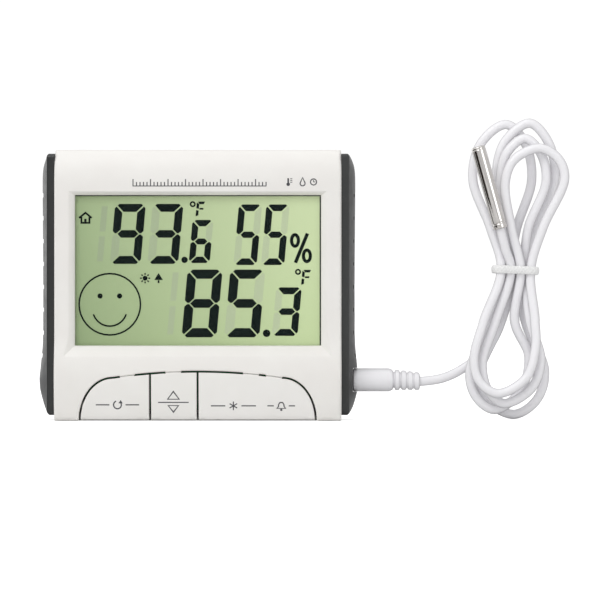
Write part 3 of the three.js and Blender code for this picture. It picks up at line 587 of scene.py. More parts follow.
def recess_line(profile, level):
    """The recess's edge, where its walls are level below the face, and its right corners."""
    top = OPENING_TOP + BEVEL_TOP * (float(recess_gap(OPENING_TOP)) - level)
    bottom = OPENING_BOTTOM
    for _ in range(60):
        bottom = OPENING_BOTTOM - BEVEL_BOTTOM * (float(recess_gap(bottom)) - level)

    def half(z):
        return OPENING_HALF_WIDTH + BEVEL_SIDE * (float(recess_gap(z)) - level)

    up = [(half(z), profile.along(z)) for z in np.linspace(bottom, top, 64)]
    down = [(-px, s) for px, s in reversed(up)]
    loop = divide(up + down, 1.0)
    return loop + [loop[0]], (half(bottom), bottom), (half(top), top)


def face_grid(half_width, step_x, rows):
    """Filling points in columns, on the given rows of length along the outline."""
    columns = np.arange(-half_width, half_width + 0.01, step_x)
    return np.array([(px, s) for s in rows for px in columns])


def build_front_shell():
    """The white front, sunk round the display and cut out for the keys."""
    profile = Profile(0, SEAM_Y)
    end = profile.length[-1]
    w = HALF_WIDTH
    rim = divide([(-w, 0), (w, 0), (w, end), (-w, end)], 1.2)
    low_s, high_s = profile.along(OPENING_BOTTOM), profile.along(OPENING_TOP)
    half = OPENING_HALF_WIDTH
    opening = divide([(-half, low_s), (half, low_s), (half, high_s), (-half, high_s)], 1.0)
    underside = profile.under(KEY_SHELL_EDGE_Y)
    key_hole = key_outline(SLOT / 2, WEB_CLEARANCE, -math.inf, math.inf, profile, underside)
    key_hole = divide(key_hole, 0.6)
    lines = [recess_line(profile, level)[0] for level in RECESS_LEVELS]
    corners = recess_line(profile, RECESS_LEVELS[0])[1:]
    steps = np.linspace(0.04, 1, 8)
    for side in (-1, 1):
        for from_z, (cx, cz) in zip((OPENING_BOTTOM, OPENING_TOP), corners):
            lines.append([
                (side * (half + (cx - half) * t), profile.along(from_z + (cz - from_z) * t)) for t in steps
            ])
    # the filling is finer where the face curves, and beside the rounded side edges
    flat_s, roll_s = profile.along(BULGE_TOP_Z), profile.along(TOP_ROLL_Z)
    rows = [*np.arange(1, flat_s, 1.1), *np.arange(flat_s, roll_s, 2.6), *np.arange(roll_s, end, 0.7)]
    grid = face_grid(w, 2.6, rows)
    edge_columns = [w - gap for gap in (0.1, 0.3, 0.6, 1.2)]
    edge = [(side * px, s) for side in (-1, 1) for px in edge_columns for s in np.arange(0.5, end, 0.8)]
    grid = np.concatenate([grid, np.array(edge)])
    shell = skin_piece(
        "front_shell_skin", profile, rim, [opening, key_hole], lines, grid, HOUSING_WHITE,
        carve=recess_depth, wall_to=SEAM_Y,
    )
    return settle(shell, "housing", "housing_white", "front_shell")


def build_keys():
    """Three plates in the lower front, each with a rib behind it that reaches its switch."""
    lip_low, _ = node_box("left_key")
    profile = Profile(lip_low.z, KEY_LIP_Y, 24)
    rows = np.arange(0.5, profile.length[-1], 0.9)
    grid = face_grid(KEYS_REACH, 1.8, rows)
    for name, left, right in KEYS:
        outline = key_outline(-SLOT / 2, 0, left + SLOT / 2, right - SLOT / 2, profile, 0.0)
        plate = skin_piece(f"{name}_plate", profile, divide(outline, 0.6), [], [], grid, KEY_WHITE)
        settle(plate, name, "housing_white")
        _, high = node_box(name)
        press = PRESS_X[name]
        rib_low = (press - RIB_HALF, RIB_FRONT_Y, RIB_LOW_Z)
        rib_high = (press + RIB_HALF, high.y, RIB_HIGH_Z)
        rib = rounded_box(f"{name}_rib", rib_low, rib_high, 0.25, KEY_WHITE)
        settle(rib, name, "housing_white")
        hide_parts(name)


def rounded_box(name, low, high, radius, material, segments=3):
    """A box with rounded edges."""
    mesh = bpy.data.meshes.new(name)
    tidy = bmesh.new()
    bmesh.ops.create_cube(tidy, size=1)
    low, high = Vector(low) * MM, Vector(high) * MM
    for vert in tidy.verts:
        vert.co = Vector(low[i] if vert.co[i] < 0 else high[i] for i in range(3))
    edges = tidy.edges[:]
    bmesh.ops.bevel(tidy, geom=edges, offset=radius * MM, segments=segments, profile=0.5, affect="EDGES")
    tidy.to_mesh(mesh)
    tidy.free()
    shade(mesh, 40)
    mesh.materials.append(material)
    return link(name, mesh)


# ---- printed marks and liquid crystal segments ----


def polyline_sides(path, width, closed):
    """The left and right sides of a stroke along a path."""
    path = np.asarray(path, float)
    count = len(path)
    left, right = [], []
    for i, point in enumerate(path):
        before = path[(i - 1) % count] if closed or i > 0 else None
        after = path[(i + 1) % count] if closed or i < count - 1 else None
        normals = []
        for start, end in ((before, point), (point, after)):
            if start is not None and end is not None:
                step = (end - start) / np.linalg.norm(end - start)
                normals.append(np.array([-step[1], step[0]]))
        mean = sum(normals) / len(normals)
        offset = mean / max(mean @ mean, MITRE_LIMIT) * width / 2
        left.append(tuple(point + offset))
        right.append(tuple(point - offset))
    return left, right


def arc_points(x, z, radius, start, end, step=8, stretch=1.0):
    """Points on an arc, in degrees from +X, with its width scaled by stretch."""
    count = max(2, int(abs(end - start) / step))
    angles = np.radians(np.linspace(start, end, count + 1))
    return [(x + radius * stretch * math.cos(a), z + radius * math.sin(a)) for a in angles]


class Drawing:
    """Thin raised shapes that follow a surface, gathered into one mesh."""

    def __init__(self, surface_y, lift, sink):
        self.surface_y = surface_y
        self.lift = lift
        self.sink = sink
        self.points = []
        self.faces = []

    def layers(self, flat):
        """Adds the outer and the sunk copy of flat points, and returns where each starts."""
        starts = []
        for offset in (-self.lift, self.sink):
            starts.append(len(self.points))
            self.points += [(x, float(self.surface_y(z)) + offset, z) for x, z in flat]
        return starts

    def fill(self, outline):
        outer, sunk = self.layers(outline)
        count = len(outline)
        self.faces.append([outer + i for i in range(count)])
        self.faces.append([sunk + i for i in reversed(range(count))])
        for i in range(count):
            j = (i + 1) % count
            self.faces.append([outer + j, outer + i, sunk + i, sunk + j])
        return self

    def stroke(self, path, width, closed=False):
        left, right = polyline_sides(path, width, closed)
        outer, sunk = self.layers(left + right)
        count = len(path)
        for i in range(count if closed else count - 1):
            j = (i + 1) % count
            self.faces.append([outer + i, outer + j, outer + count + j, outer + count + i])
            self.faces.append([sunk + i, sunk + count + i, sunk + count + j, sunk + j])
            self.faces.append([outer + i, sunk + i, sunk + j, outer + j])
            self.faces.append([outer + count + i, outer + count + j, sunk + count + j, sunk + count + i])
        if not closed:
            for i in (0, count - 1):
                self.faces.append([outer + i, outer + count + i, sunk + count + i, sunk + i])
        return self

    def line(self, x0, z0, x1, z1, width):
        steps = max(1, int(math.dist((x0, z0), (x1, z1)) / 1.5))
        path = [(x0 + (x1 - x0) * i / steps, z0 + (z1 - z0) * i / steps) for i in range(steps + 1)]
        return self.stroke(path, width)

    def rules(self, z, width, *spans):
        """Level lines at one height."""
        for x0, x1 in spans:
            self.line(x0, z, x1, z, width)

    def spokes(self, x, z, start, end, every, width):
        """Straight lines that run out from a centre, between two distances from it."""
        for degrees in every:
            cos, sin = math.cos(math.radians(degrees)), math.sin(math.radians(degrees))
            self.line(x + start * cos, z + start * sin, x + end * cos, z + end * sin, width)

    def ring(self, x, z, radius, width, stretch=1.0):
        return self.stroke(arc_points(x, z, radius, 0, 360, 10, stretch)[:-1], width, closed=True)

    def disc(self, x, z, radius, stretch=1.0):
        return self.fill(arc_points(x, z, radius, 0, 360, 15, stretch)[:-1])

    def piece(self, name, body, slot, material):
        made = mesh_piece(name, self.points, self.faces, material, 30, weld=False)
        return settle(made, body, slot)


SLANT = 0.09
SEGMENT_GAP = 0.34
# the segments that each value lights
LIT = {"3": "abcdg", "5": "acdfg", "6": "acdefg", "8": "abcdefg", "9": "abcdfg"}
# low edge, width, height and stroke of each kind of digit, in millimetres
DIGIT_SIZES = {
    "indoor": (54.6, 10.7, 20.9, 2.75),
    "indoor_tenths": (54.9, 7.3, 15.0, 2.2),
    "humidity": (54.2, 8.1, 21.1, 2.3),
    "outdoor": (29.0, 12.2, 23.6, 3.2),
    "outdoor_tenths": (29.5, 8.9, 16.9, 2.4),
}
# value, left edge and kind
DIGITS = [
    ("9", -30.8, "indoor"), ("3", -17.7, "indoor"), ("6", -3.3, "indoor_tenths"),
    ("5", 12.3, "humidity"), ("5", 21.9, "humidity"),
    ("8", -5.8, "outdoor"), ("5", 9.1, "outdoor"), ("3", 25.7, "outdoor_tenths"),
]
DECIMAL_POINTS = [(-4.75, 56.0, 1.1), (23.85, 30.4, 1.3)]

SCALE_TICKS, SCALE_LEFT, SCALE_PITCH = 39, -22.5, 1.216
SCALE_FOOT, SCALE_TALL, SCALE_SHORT = 81.7, 2.3, 1.3


def segment_shapes(width, height, stroke):
    """The seven segments of an upright digit, by letter, mitred where they meet."""
    gap = SEGMENT_GAP
    half = stroke / 2
    middle = height / 2
    corner = 0.55 * stroke
    tip, heel = (corner + gap) / 2, (corner - gap) / 2
    across = [
        (corner, height), (width - corner, height), (width - tip, height - heel),
        (width - stroke - gap, height - stroke), (stroke + gap, height - stroke), (tip, height - heel),
    ]
    upper = [
        (0, height - corner), (heel, height - tip), (stroke, height - stroke - gap),
        (stroke, middle + half + 0.6 * gap), (half, middle + 0.6 * gap),
        (0.3 * stroke, middle + 0.6 * gap), (0, middle + 0.35 * stroke),
    ]
    inner, rise = stroke + 0.8 * gap, half - 0.2 * gap
    bar = [
        (half + gap, middle), (inner, middle + rise), (width - inner, middle + rise),
        (width - half - gap, middle), (width - inner, middle - rise), (inner, middle - rise),
    ]

    def mirror_x(shape):
        return [(width - x, z) for x, z in reversed(shape)]

    def mirror_z(shape):
        return [(x, height - z) for x, z in reversed(shape)]

    return {
        "a": across, "b": mirror_x(upper), "c": mirror_z(mirror_x(upper)), "d": mirror_z(across),
        "e": mirror_z(upper), "f": upper, "g": bar,
    }


def draw_digit(lit, ghost, value, left, low, width, height, stroke):
    """A seven segment digit, its lit segments in one drawing and the rest in the other."""
    for letter, shape in segment_shapes(width, height, stroke).items():
        drawing = lit if letter in LIT[value] else ghost
        drawing.fill([(left + x + SLANT * z, low + z) for x, z in shape])


def draw_degree_unit(drawing, ring_x, ring_z, left, low, width, height):
    """The unit beside a reading: a degree ring and a segmented letter."""
    drawing.ring(ring_x, ring_z, 0.76, 0.56)
    stroke = 0.9

    def slanted(points):
        return [(left + x + SLANT * z, low + z) for x, z in points]

    middle = 0.52 * height
    drawing.fill(slanted([(0, 0), (stroke, 0.3), (stroke, middle - 0.7), (0, middle - 0.45)]))
    upper = [(0, middle + 0.1), (stroke, middle - 0.1), (stroke, height - 0.85), (0, height - 0.3)]
    drawing.fill(slanted(upper))
    top_bar = [(0.35, height), (width, height), (width - 0.45, height - stroke), (1.0, height - stroke)]
    drawing.fill(slanted(top_bar))
    start, end = stroke + 0.2, width * 0.86
    middle_bar = [(start, middle + 0.25), (end, middle + 0.25), (end, middle - 0.35), (start, middle - 0.35)]
    drawing.fill(slanted(middle_bar))


def lcd_y(_):
    """The LCD's flat front, at any height."""
    return LCD_FRONT


def build_display():
    lit = Drawing(lcd_y, 0.05, 0.02)
    ghost = Drawing(lcd_y, 0.02, 0.02)
    for value, left, size in DIGITS:
        draw_digit(lit, ghost, value, left, *DIGIT_SIZES[size])
    for point in DECIMAL_POINTS:
        lit.disc(*point)
    draw_degree_unit(lit, -1.9, 75.4, -0.9, 71.2, 2.9, 5.1)
    draw_degree_unit(lit, 34.8, 51.8, 35.9, 47.3, 3.0, 5.2)

    # percent sign
    for x, z in ((33.75, 62.75), (37.9, 57.4)):
        lit.ring(x, z, 2.0, 1.12, 0.6)
    lit.line(33.9, 55.0, 38.1, 65.2, 1.2)

    # the hundreds, switched off in both rows
    for low, height, left in ((54.6, 20.9, -35.4), (29.0, 23.6, -10.9)):
        for share in (0.04, 0.54):
            z0, z1 = low + share * height, low + (share + 0.42) * height
            x0, x1 = left + SLANT * (z0 - low), left + SLANT * (z1 - low)
            ghost.fill([(x0, z0), (x0 + 2.1, z0), (x1 + 2.1, z1), (x1, z1)])

    # a dark line painted along the top and the right of the glass: painted shadow, where the recess's edge
    # shades the LCD
    edge = Drawing(lcd_y, 0.03, 0.02)
    edge.line(-OPENING_HALF_WIDTH, OPENING_TOP, OPENING_HALF_WIDTH, OPENING_TOP, 0.62)
    edge.line(OPENING_HALF_WIDTH, OPENING_BOTTOM, OPENING_HALF_WIDTH, OPENING_TOP - 0.4, 0.9)
    edge.piece("lcd_painted_shadow_line", "housing", "black_plastic", SEGMENT_INK)

    # comfort level: a face
    lit.ring(-30.8, 40.5, 10.7, 0.58)
    lit.disc(-34.2, 43.4, 0.9).disc(-27.4, 43.4, 0.9)
    lit.stroke(arc_points(-30.8, 38.9, 6.0, 198, 342), 0.58)

    # indoor: a house. outdoor: a sun and a tree.
    lit.stroke([(-41.5, 70.6), (-39.3, 72.4), (-37.1, 70.6)], 0.64)
    lit.stroke([(-40.7, 70.9), (-40.7, 68.9), (-37.9, 68.9), (-37.9, 70.9)], 0.64)
    lit.fill([(-39.7, 69.0), (-38.9, 69.0), (-38.9, 70.3), (-39.7, 70.3)])
    lit.disc(-18.5, 49.6, 0.85)
    lit.spokes(-18.5, 49.6, 1.15, 1.8, range(0, 360, 45), 0.46)
    lit.fill([(-15.3, 49.0), (-12.3, 49.0), (-13.8, 51.4)])
    lit.fill([(-14.1, 47.9), (-13.5, 47.9), (-13.5, 48.9), (-14.1, 48.9)])
    lit.piece("lcd_segments", "housing", "black_plastic", SEGMENT_INK)
    ghost.piece("lcd_ghost_segments", "housing", "lcd_green", GHOST_GREY)


def build_prints():
    # a fine scale, with a thermometer and a droplet at its right, over the display
    header = Drawing(front_y, PRINT_LIFT, PRINT_SINK)
    for i in range(SCALE_TICKS):
        x = SCALE_LEFT + i * SCALE_PITCH
        tall = SCALE_TALL if i % 5 == 0 else SCALE_SHORT
        header.line(x, SCALE_FOOT, x, SCALE_FOOT + tall, 0.36)
    header.rules(81.6, 0.3, (-22.65, 23.85))
    header.disc(31.4, 82.2, 0.62)
    header.line(31.4, 82.4, 31.4, 84.3, 0.58)
    for z in (82.9, 83.5, 84.1):
        header.line(32.1, z, 32.8, z, 0.26)
    header.stroke([*arc_points(36.4, 82.5, 0.85, -215, 35), (36.4, 84.5)], 0.38, closed=True)
    header.ring(40.2, 83.0, 1.05, 0.38)
    header.line(40.2, 83.0, 40.2, 83.7, 0.28)
    header.line(40.2, 83.0, 40.8, 83.0, 0.28)
    header.piece("header_print", "housing", "black_plastic", INK)

    # clear: a turning arrow between two rules
    left = Drawing(front_y, PRINT_LIFT, PRINT_SINK)
    left.rules(5.65, 0.4, (-35.3, -30.6), (-25.0, -20.3))
    left.stroke(arc_points(-27.8, 5.65, 1.35, -250, 40), 0.44)
    left.fill([(-27.45, 6.2), (-26.0, 6.15), (-26.65, 7.35)])
    left.piece("left_key_print", "left_key", "black_plastic", INK)

    # highest and lowest: two triangles and a bar
    middle = Drawing(front_y, PRINT_LIFT, PRINT_SINK)
    middle.rules(6.5, 0.36, (-13.7, -3.1))
    middle.stroke([(-10.4, 7.6), (-6.4, 7.6), (-8.4, 10.3)], 0.44, closed=True)
    middle.stroke([(-10.2, 5.4), (-8.4, 3.1), (-6.6, 5.4)], 0.44, closed=True)
    middle.piece("middle_key_print", "middle_key", "black_plastic", INK)

    # frost alert: a snow crystal and a bell, with rules beside them
    right = Drawing(front_y, PRINT_LIFT, PRINT_SINK)
    right.rules(5.3, 0.4, (4.6, 9.6), (15.2, 20.2), (24.2, 26.4), (31.6, 33.8))
    right.spokes(12.4, 5.3, -1.5, 1.5, (30, 90, 150), 0.38)
    half_bell = [(0.45, 1.15), (0.9, 0.5), (1.0, -0.3), (1.5, -0.9)]
    bell = [(-x, z) for x, z in reversed(half_bell)] + half_bell
    right.stroke([(29.0 + x, 5.3 + z) for x, z in bell], 0.4, closed=True)
    right.disc(29.0, 3.9, 0.4)
    right.piece("right_key_print", "right_key", "black_plastic", INK)


# ---- round and swept shapes ----


def softened(profile, radius, steps=3):
    """A profile with each inner corner rounded off."""
    points = [np.array(p, float) for p in profile]
    result = [points[0]]
    for before, corner, after in zip(points, points[1:], points[2:]):
        reach = min(radius, 0.45 * np.linalg.norm(corner - before), 0.45 * np.linalg.norm(after - corner))
        start = corner + (before - corner) / np.linalg.norm(before - corner) * reach
        end = corner + (after - corner) / np.linalg.norm(after - corner) * reach
        for t in np.linspace(0, 1, steps + 1):
            result.append((1 - t) ** 2 * start + 2 * t * (1 - t) * corner + t * t * end)
    result.append(points[-1])
    return [tuple(p) for p in result]


def ring_faces(rings, sides, closed=False):
    """Four-sided faces from each ring of points to the next."""
    faces = []
    for ring in range(rings if closed else rings - 1):
        low, high = ring * sides, (ring + 1) % rings * sides
        for i in range(sides):
            j = (i + 1) % sides
            faces.append((low + i, low + j, high + j, high + i))
    return faces


def side_axes(direction):
    """Two directions square to a third."""
    direction = np.asarray(direction, float)
    direction = direction / np.linalg.norm(direction)
    helper = np.array([0.0, 1.0, 0.0]) if abs(direction[1]) < 0.9 else np.array([1.0, 0.0, 0.0])
    first = np.cross(direction, helper)
    first /= np.linalg.norm(first)
    return first, np.cross(direction, first)


def circle(centre, first, second, radius, sides):
    """Points round a centre, in the plane of two directions."""
    angles = [2 * math.pi * i / sides for i in range(sides)]
    return [tuple(centre + radius * (math.cos(a) * first + math.sin(a) * second)) for a in angles]


def lathe(name, profile, origin, axis, material, segments):
    """A profile of (length along the axis, radius) turned about the axis, which its ends touch."""
    axis = np.asarray(axis, float) / np.linalg.norm(axis)
    first, second = side_axes(axis)
    origin = np.asarray(origin, float)
    points = []
    rings = []
    for along, radius in profile:
        centre = origin + axis * along
        if radius < 1e-6:
            rings.append([len(points)])
            points.append(tuple(centre))
            continue
        rings.append(list(range(len(points), len(points) + segments)))
        points += circle(centre, first, second, radius, segments)
    faces = []
    for low, high in zip(rings, rings[1:]):
        for i in range(segments):
            j = (i + 1) % segments
            if len(low) == 1 and len(high) > 1:
                faces.append((low[0], high[j], high[i]))
            elif len(high) == 1 and len(low) > 1:
                faces.append((low[i], low[j], high[0]))
            elif len(low) > 1:
                faces.append((low[i], low[j], high[j], high[i]))
    return mesh_piece(name, points, faces, material, 38, weld=False)


def carried_frames(path):
    """Two side directions at each point of a path, carried along it without twisting."""
    path = np.asarray(path, float)
    tangent = np.gradient(path, axis=0)
    tangent /= np.linalg.norm(tangent, axis=1)[:, None]
    first, _ = side_axes(tangent[0])
    firsts = []
    for direction in tangent:
        first = first - direction * (first @ direction)
        first /= np.linalg.norm(first)
        firsts.append(first)
    firsts = np.array(firsts)
    return firsts, np.cross(tangent, firsts)


def tube(name, path, radius, sides, material):
    """A round tube along a path, with eased, closed ends."""
    path = np.asarray(path, float)
    firsts, seconds = carried_frames(path)
    points = []
    ends = np.full(len(path), radius)
    ends[0] = ends[-1] = radius * 0.8
    for centre, first, second, size in zip(path, firsts, seconds, ends):
        points += circle(centre, first, second, size, sides)
    faces = ring_faces(len(path), sides)
    faces.append(list(reversed(range(sides))))
    faces.append(list(range(len(points) - sides, len(points))))
    return mesh_piece(name, points, faces, material, 50, weld=False)


def catmull(points, per_span):
    """A centripetal Catmull-Rom curve, the same curve as the CAD lead follows."""
    points = np.asarray(points, float)
    padded = np.vstack([2 * points[0] - points[1], points, 2 * points[-1] - points[-2]])
    result = []
    for i in range(len(points) - 1):
        p0, p1, p2, p3 = padded[i:i + 4]
        d0, d1, d2 = (np.linalg.norm(b - a) ** 0.5 for a, b in ((p0, p1), (p1, p2), (p2, p3)))
        start = ((p1 - p0) / d0 - (p2 - p0) / (d0 + d1) + (p2 - p1) / d1) * d1
        end = ((p2 - p1) / d1 - (p3 - p1) / (d1 + d2) + (p3 - p2) / d2) * d1
        for t in np.arange(per_span) / per_span:
            bend = -3 * p1 + 3 * p2 - 2 * start - end
            result.append(p1 + start * t + bend * t * t + (2 * p1 - 2 * p2 + start + end) * t ** 3)
    result.append(points[-1])
    return np.array(result)


# ---- the side grips ----

GRIP_FRONT_Y, GRIP_BACK_Y = -6.6, 9.2
GRIP_FRONT_X = 52.7
GRIP_FRONT_EASE = 0.4
GRIP_WIDE_Y = 2.5
GRIP_FLARE_POWER = 1.6
GRIP_BACK_ROUND = 1.6
GRIP_END_ROUND = 1.5
GRIP_INNER_X = HALF_WIDTH + 0.1
GRIP_EDGE = [
    (1.9, 2.6), (2.5, 3.1), (3.5, 3.75), (5, 4.4), (7, 5), (9, 5.55), (11, 6), (14.7, 6.2), (18, 5.8),
    (22, 5.4), (26, 5), (31, 4.85), (46, 4.8), (60, 4.88), (81.6, 5.05), (85.5, 5.02), (88.2, 4.8),
    (90, 4.35), (91.4, 3.75), (92.4, 3.25), (93, 2.8),
]
GROOVE_COUNT = 8
GROOVE_TOP_Z = 78.7
GROOVE_PITCH = 8.02
GROOVE_DEPTH = 0.6
GROOVE_HALF = 0.8
GROOVE_WALL, GROOVE_END = 0.42, 0.4
GROOVE_BACK_Y = 4.6
GROOVE_STEPS = (0.98, 0.88, 0.77, 0.66, 0.56, 0.3)


def grip_reach(z):
    """How far a grip stands out at a height, its outline eased over 2 mm."""
    heights, reaches = zip(*GRIP_EDGE)
    near = np.linspace(-1, 1, 13)
    span = min(z - heights[0], heights[-1] - z, 1)
    return float(np.mean(np.interp(z + near * max(span, 0), heights, reaches)))


def groove_depth(z):
    """How deep the grooves are at a height."""
    depth = 0.0
    for i in range(GROOVE_COUNT):
        gap = abs(z - (GROOVE_TOP_Z - i * GROOVE_PITCH))
        share = np.clip((GROOVE_HALF + 0.18 - gap) / GROOVE_WALL, 0, 1)
        depth = max(depth, GROOVE_DEPTH * eased(share))
    return depth


def groove_open(y):
    """1 along a groove, easing to 0 at its closed back end."""
    return float(eased(np.clip((GROOVE_BACK_Y + 0.15 - y) / GROOVE_END, 0, 1)))


def grip_section(z, low, high):
    """Points round a grip at a height, as (x, y). The side flares outwards on its way back."""
    past = max(0.0, GRIP_END_ROUND - min(z - low, high - z))
    retreat = GRIP_END_ROUND - math.sqrt(max(GRIP_END_ROUND ** 2 - past * past, 0))
    front, back = GRIP_FRONT_Y + retreat, GRIP_BACK_Y - retreat
    edge = HALF_WIDTH + grip_reach(z)
    front_x = min(GRIP_FRONT_X, edge - 0.6)
    groove = groove_depth(z)
    ease = GRIP_FRONT_EASE
    flare_y = front + ease
    points = [(x, front) for x in np.linspace(GRIP_INNER_X, front_x - ease, 3)[:-1]]
    for a in np.radians(np.linspace(0, 75, 6)):
        points.append((front_x - ease + ease * math.sin(a), front + ease * (1 - math.cos(a))))
    for t in np.linspace(0.03, 1, 14):
        out = 1 - (1 - t) ** GRIP_FLARE_POWER
        points.append((front_x + (edge - front_x) * out, flare_y + (GRIP_WIDE_Y - flare_y) * t))
    round_y = back - GRIP_BACK_ROUND
    points += [(edge, y) for y in np.linspace(GRIP_WIDE_Y, round_y, 14)[1:-1]]
    for a in np.radians(np.linspace(0, 90, 9)):
        points.append((edge - GRIP_BACK_ROUND * (1 - math.cos(a)), round_y + GRIP_BACK_ROUND * math.sin(a)))
    points += [(x, back) for x in np.linspace(edge - GRIP_BACK_ROUND, GRIP_INNER_X, 3)[1:]]
    return [(min(x, edge - groove * groove_open(y)) if groove else x, y) for x, y in points]


def grip_stations(low, high):
    """The heights of a grip's sections, closer together at its ends and its grooves."""
    stations = set(np.arange(low + 1.6, high - 1.5, 1.0).round(3))
    for angle in np.radians(np.arange(0, 91, 15)):
        step = 1.6 * (1 - math.cos(angle))
        stations |= {round(low + step, 3), round(high - step, 3)}
    for i in range(GROOVE_COUNT):
        centre = GROOVE_TOP_Z - i * GROOVE_PITCH
        stations = {z for z in stations if abs(z - centre) > 1.25}
        stations |= {round(centre + side * step, 3) for step in (*GROOVE_STEPS, 0) for side in (-1, 1)}
    return sorted(stations)


def build_grips():
    low, high = GRIP_EDGE[0][0], GRIP_EDGE[-1][0]
    stations = grip_stations(low, high)
    for side, name in ((-1, "left_grip"), (1, "right_grip")):
        points = []
        for z in stations:
            points += [(side * x, y, z) for x, y in grip_section(z, low, high)]
        size = len(points) // len(stations)
        faces = ring_faces(len(stations), size)
        faces.append(list(range(size)))
        faces.append(list(range(len(points) - size, len(points))))
        grip = mesh_piece(f"{name}_moulding", points, faces, GRIP_GREY, 32)
        if name == "right_grip":
            grip = bored(bored(grip, plug_hole_cutter()), plug_notch_cutter())
        settle(grip, "housing", "grip_grey", name)


JACK_Y, JACK_Z = 3.7, 13.9
PLUG_HOLE = 2.6
NOTCH_X = 54.0
NOTCH_HALF = 4.3


def plug_hole_cutter():
    profile = [(-2, 0), (-2, PLUG_HOLE), (8, PLUG_HOLE), (8, 0)]
    return lathe("plug_hole_cutter", profile, (HALF_WIDTH, JACK_Y, JACK_Z), (1, 0, 0), GRIP_GREY, 40)


def plug_notch_cutter():
    low = (NOTCH_X, GRIP_FRONT_Y - 4, JACK_Z - NOTCH_HALF)
    high = (HALF_WIDTH + 12, GRIP_BACK_Y + 4, JACK_Z + NOTCH_HALF)
    return rounded_box("plug_notch_cutter", low, high, 0.3, GRIP_GREY)


def bored(piece, cutter):
    """The piece with the cutter's shape cut away, as a plain mesh."""
    modifier = piece.modifiers.new("bore", "BOOLEAN")
    modifier.operation = "DIFFERENCE"
    modifier.solver = "EXACT"
    modifier.object = cutter
    bpy.context.view_layer.update()
    graph = bpy.context.evaluated_depsgraph_get()
    mesh = bpy.data.meshes.new_from_object(piece.evaluated_get(graph))
    piece.modifiers.clear()
    piece.data = mesh
    bpy.data.objects.remove(cutter)
    shade(mesh, 32)
    return piece


# ---- the probe and its lead ----

PLUG_START_X = 54.15
PLUG_SHOULDER_X = 68.4
PLUG_RADIUS = 4.1
PLUG_RIBS = [3.65, 3.5, 3.35, 3.2]
PLUG_RIB_PITCH = 2.3
PLUG_NECK = 2.75
RELIEF_END_X = 77.7
RELIEF_DROOP = 0.5
SHAFT_TIP_X = 41
SHAFT_RADIUS = 1.75
SHAFT_RINGS_X = (46.2, 50.4)

CABLE_RADIUS = 1.65
CABLE_SIDES = 24
CABLE_SPAN_STEPS = 15
WAIST_X, WAIST_Z = 110.9, 52.5
STRAND_PITCH, STRAND_LAYER = 3.4, 3.3
PROBE_LOW, PROBE_HIGH = (105.2, -7.4, 66.8), (97.3, -7.4, 95.4)
PROBE_RADIUS = 2.5

STRANDS = {
    "F1": (-1.5, -1), "F2": (-0.5, -1), "F3": (0.5, -1), "F4": (1.5, -1),
    "M1": (-1, 0), "M2": (0, 0), "M3": (1, 0), "R1": (-0.5, 1), "R2": (0.5, 1),
}

# The run of the lead from the plug to the probe. A strand's name takes it through the
# tie, and each list of five points is a loop: foot, side, crown, side and foot.
CABLE_RUN = [
    (76.5, 3.7, 13.5), (78.1, 3.7, 13.4),
    (86, 4.2, 14.6), (94, 5.4, 18.5), (101.8, 6.6, 25), (107.1, 6.7, 36),
    "R1", [(111.8, 4.9, 67), (117.2, 5.3, 84.5), (108.2, 5.3, 103.9), (96.4, 5.3, 85), (102.4, 0.6, 67)],
    "F1", [(99.4, -5.9, 34.4), (96, -6.6, 21), (104.4, -6.6, 9.5), (117.4, -6.6, 25), (117.3, -5.9, 35)],
    "F4", [(120.3, -4.7, 67.5), (127.7, -5.1, 84.3), (119, -5.1, 94.9), (107, -5.1, 83), (109.2, -4.7, 67)],
    "F3", [(110.6, -1.6, 34.4), (115.7, -0.1, 22), (103.7, -0.1, 3.6), (95, -0.1, 16.5), (101.8, -0.1, 34.4)],
    "M1", [(106.2, 1.5, 67), (104.3, 1.9, 84.5), (116.2, 1.9, 104.1), (125, 1.9, 84.5), (118, 2.3, 67)],
    "R2", [(114.8, 3.4, 34.4), (121.6, 3.3, 17), (110.9, 3.3, 1.8), (98.4, 3.3, 15), (106.2, 2.7, 34.4)],
    "M2",
    [(108.4, -1.3, 67), (105.6, -1.6, 83.5), (114.2, -1.6, 98.5), (121.6, -1.6, 83.5), (115.4, -1.2, 67)],
    "M3", [(115.9, -2.7, 34.4), (119.6, -3.3, 21), (106.6, -3.3, 5.9), (99.2, -3.3, 20), (103.8, -3.3, 34.4)],
    "F2", (107, -5.6, 60),
]
SHOULDER_OUT, SHOULDER_UP = 0.74, 0.66


def rounded_loop(foot, side, crown, far_side, far_foot):
    """A loop's five points with a shoulder on each side of its crown."""
    def shoulder(beside):
        return (
            crown[0] + SHOULDER_OUT * (beside[0] - crown[0]),
            (crown[1] + beside[1]) / 2,
            beside[2] + SHOULDER_UP * (crown[2] - beside[2]),
        )

    return [foot, side, shoulder(side), crown, shoulder(far_side), far_side, far_foot]


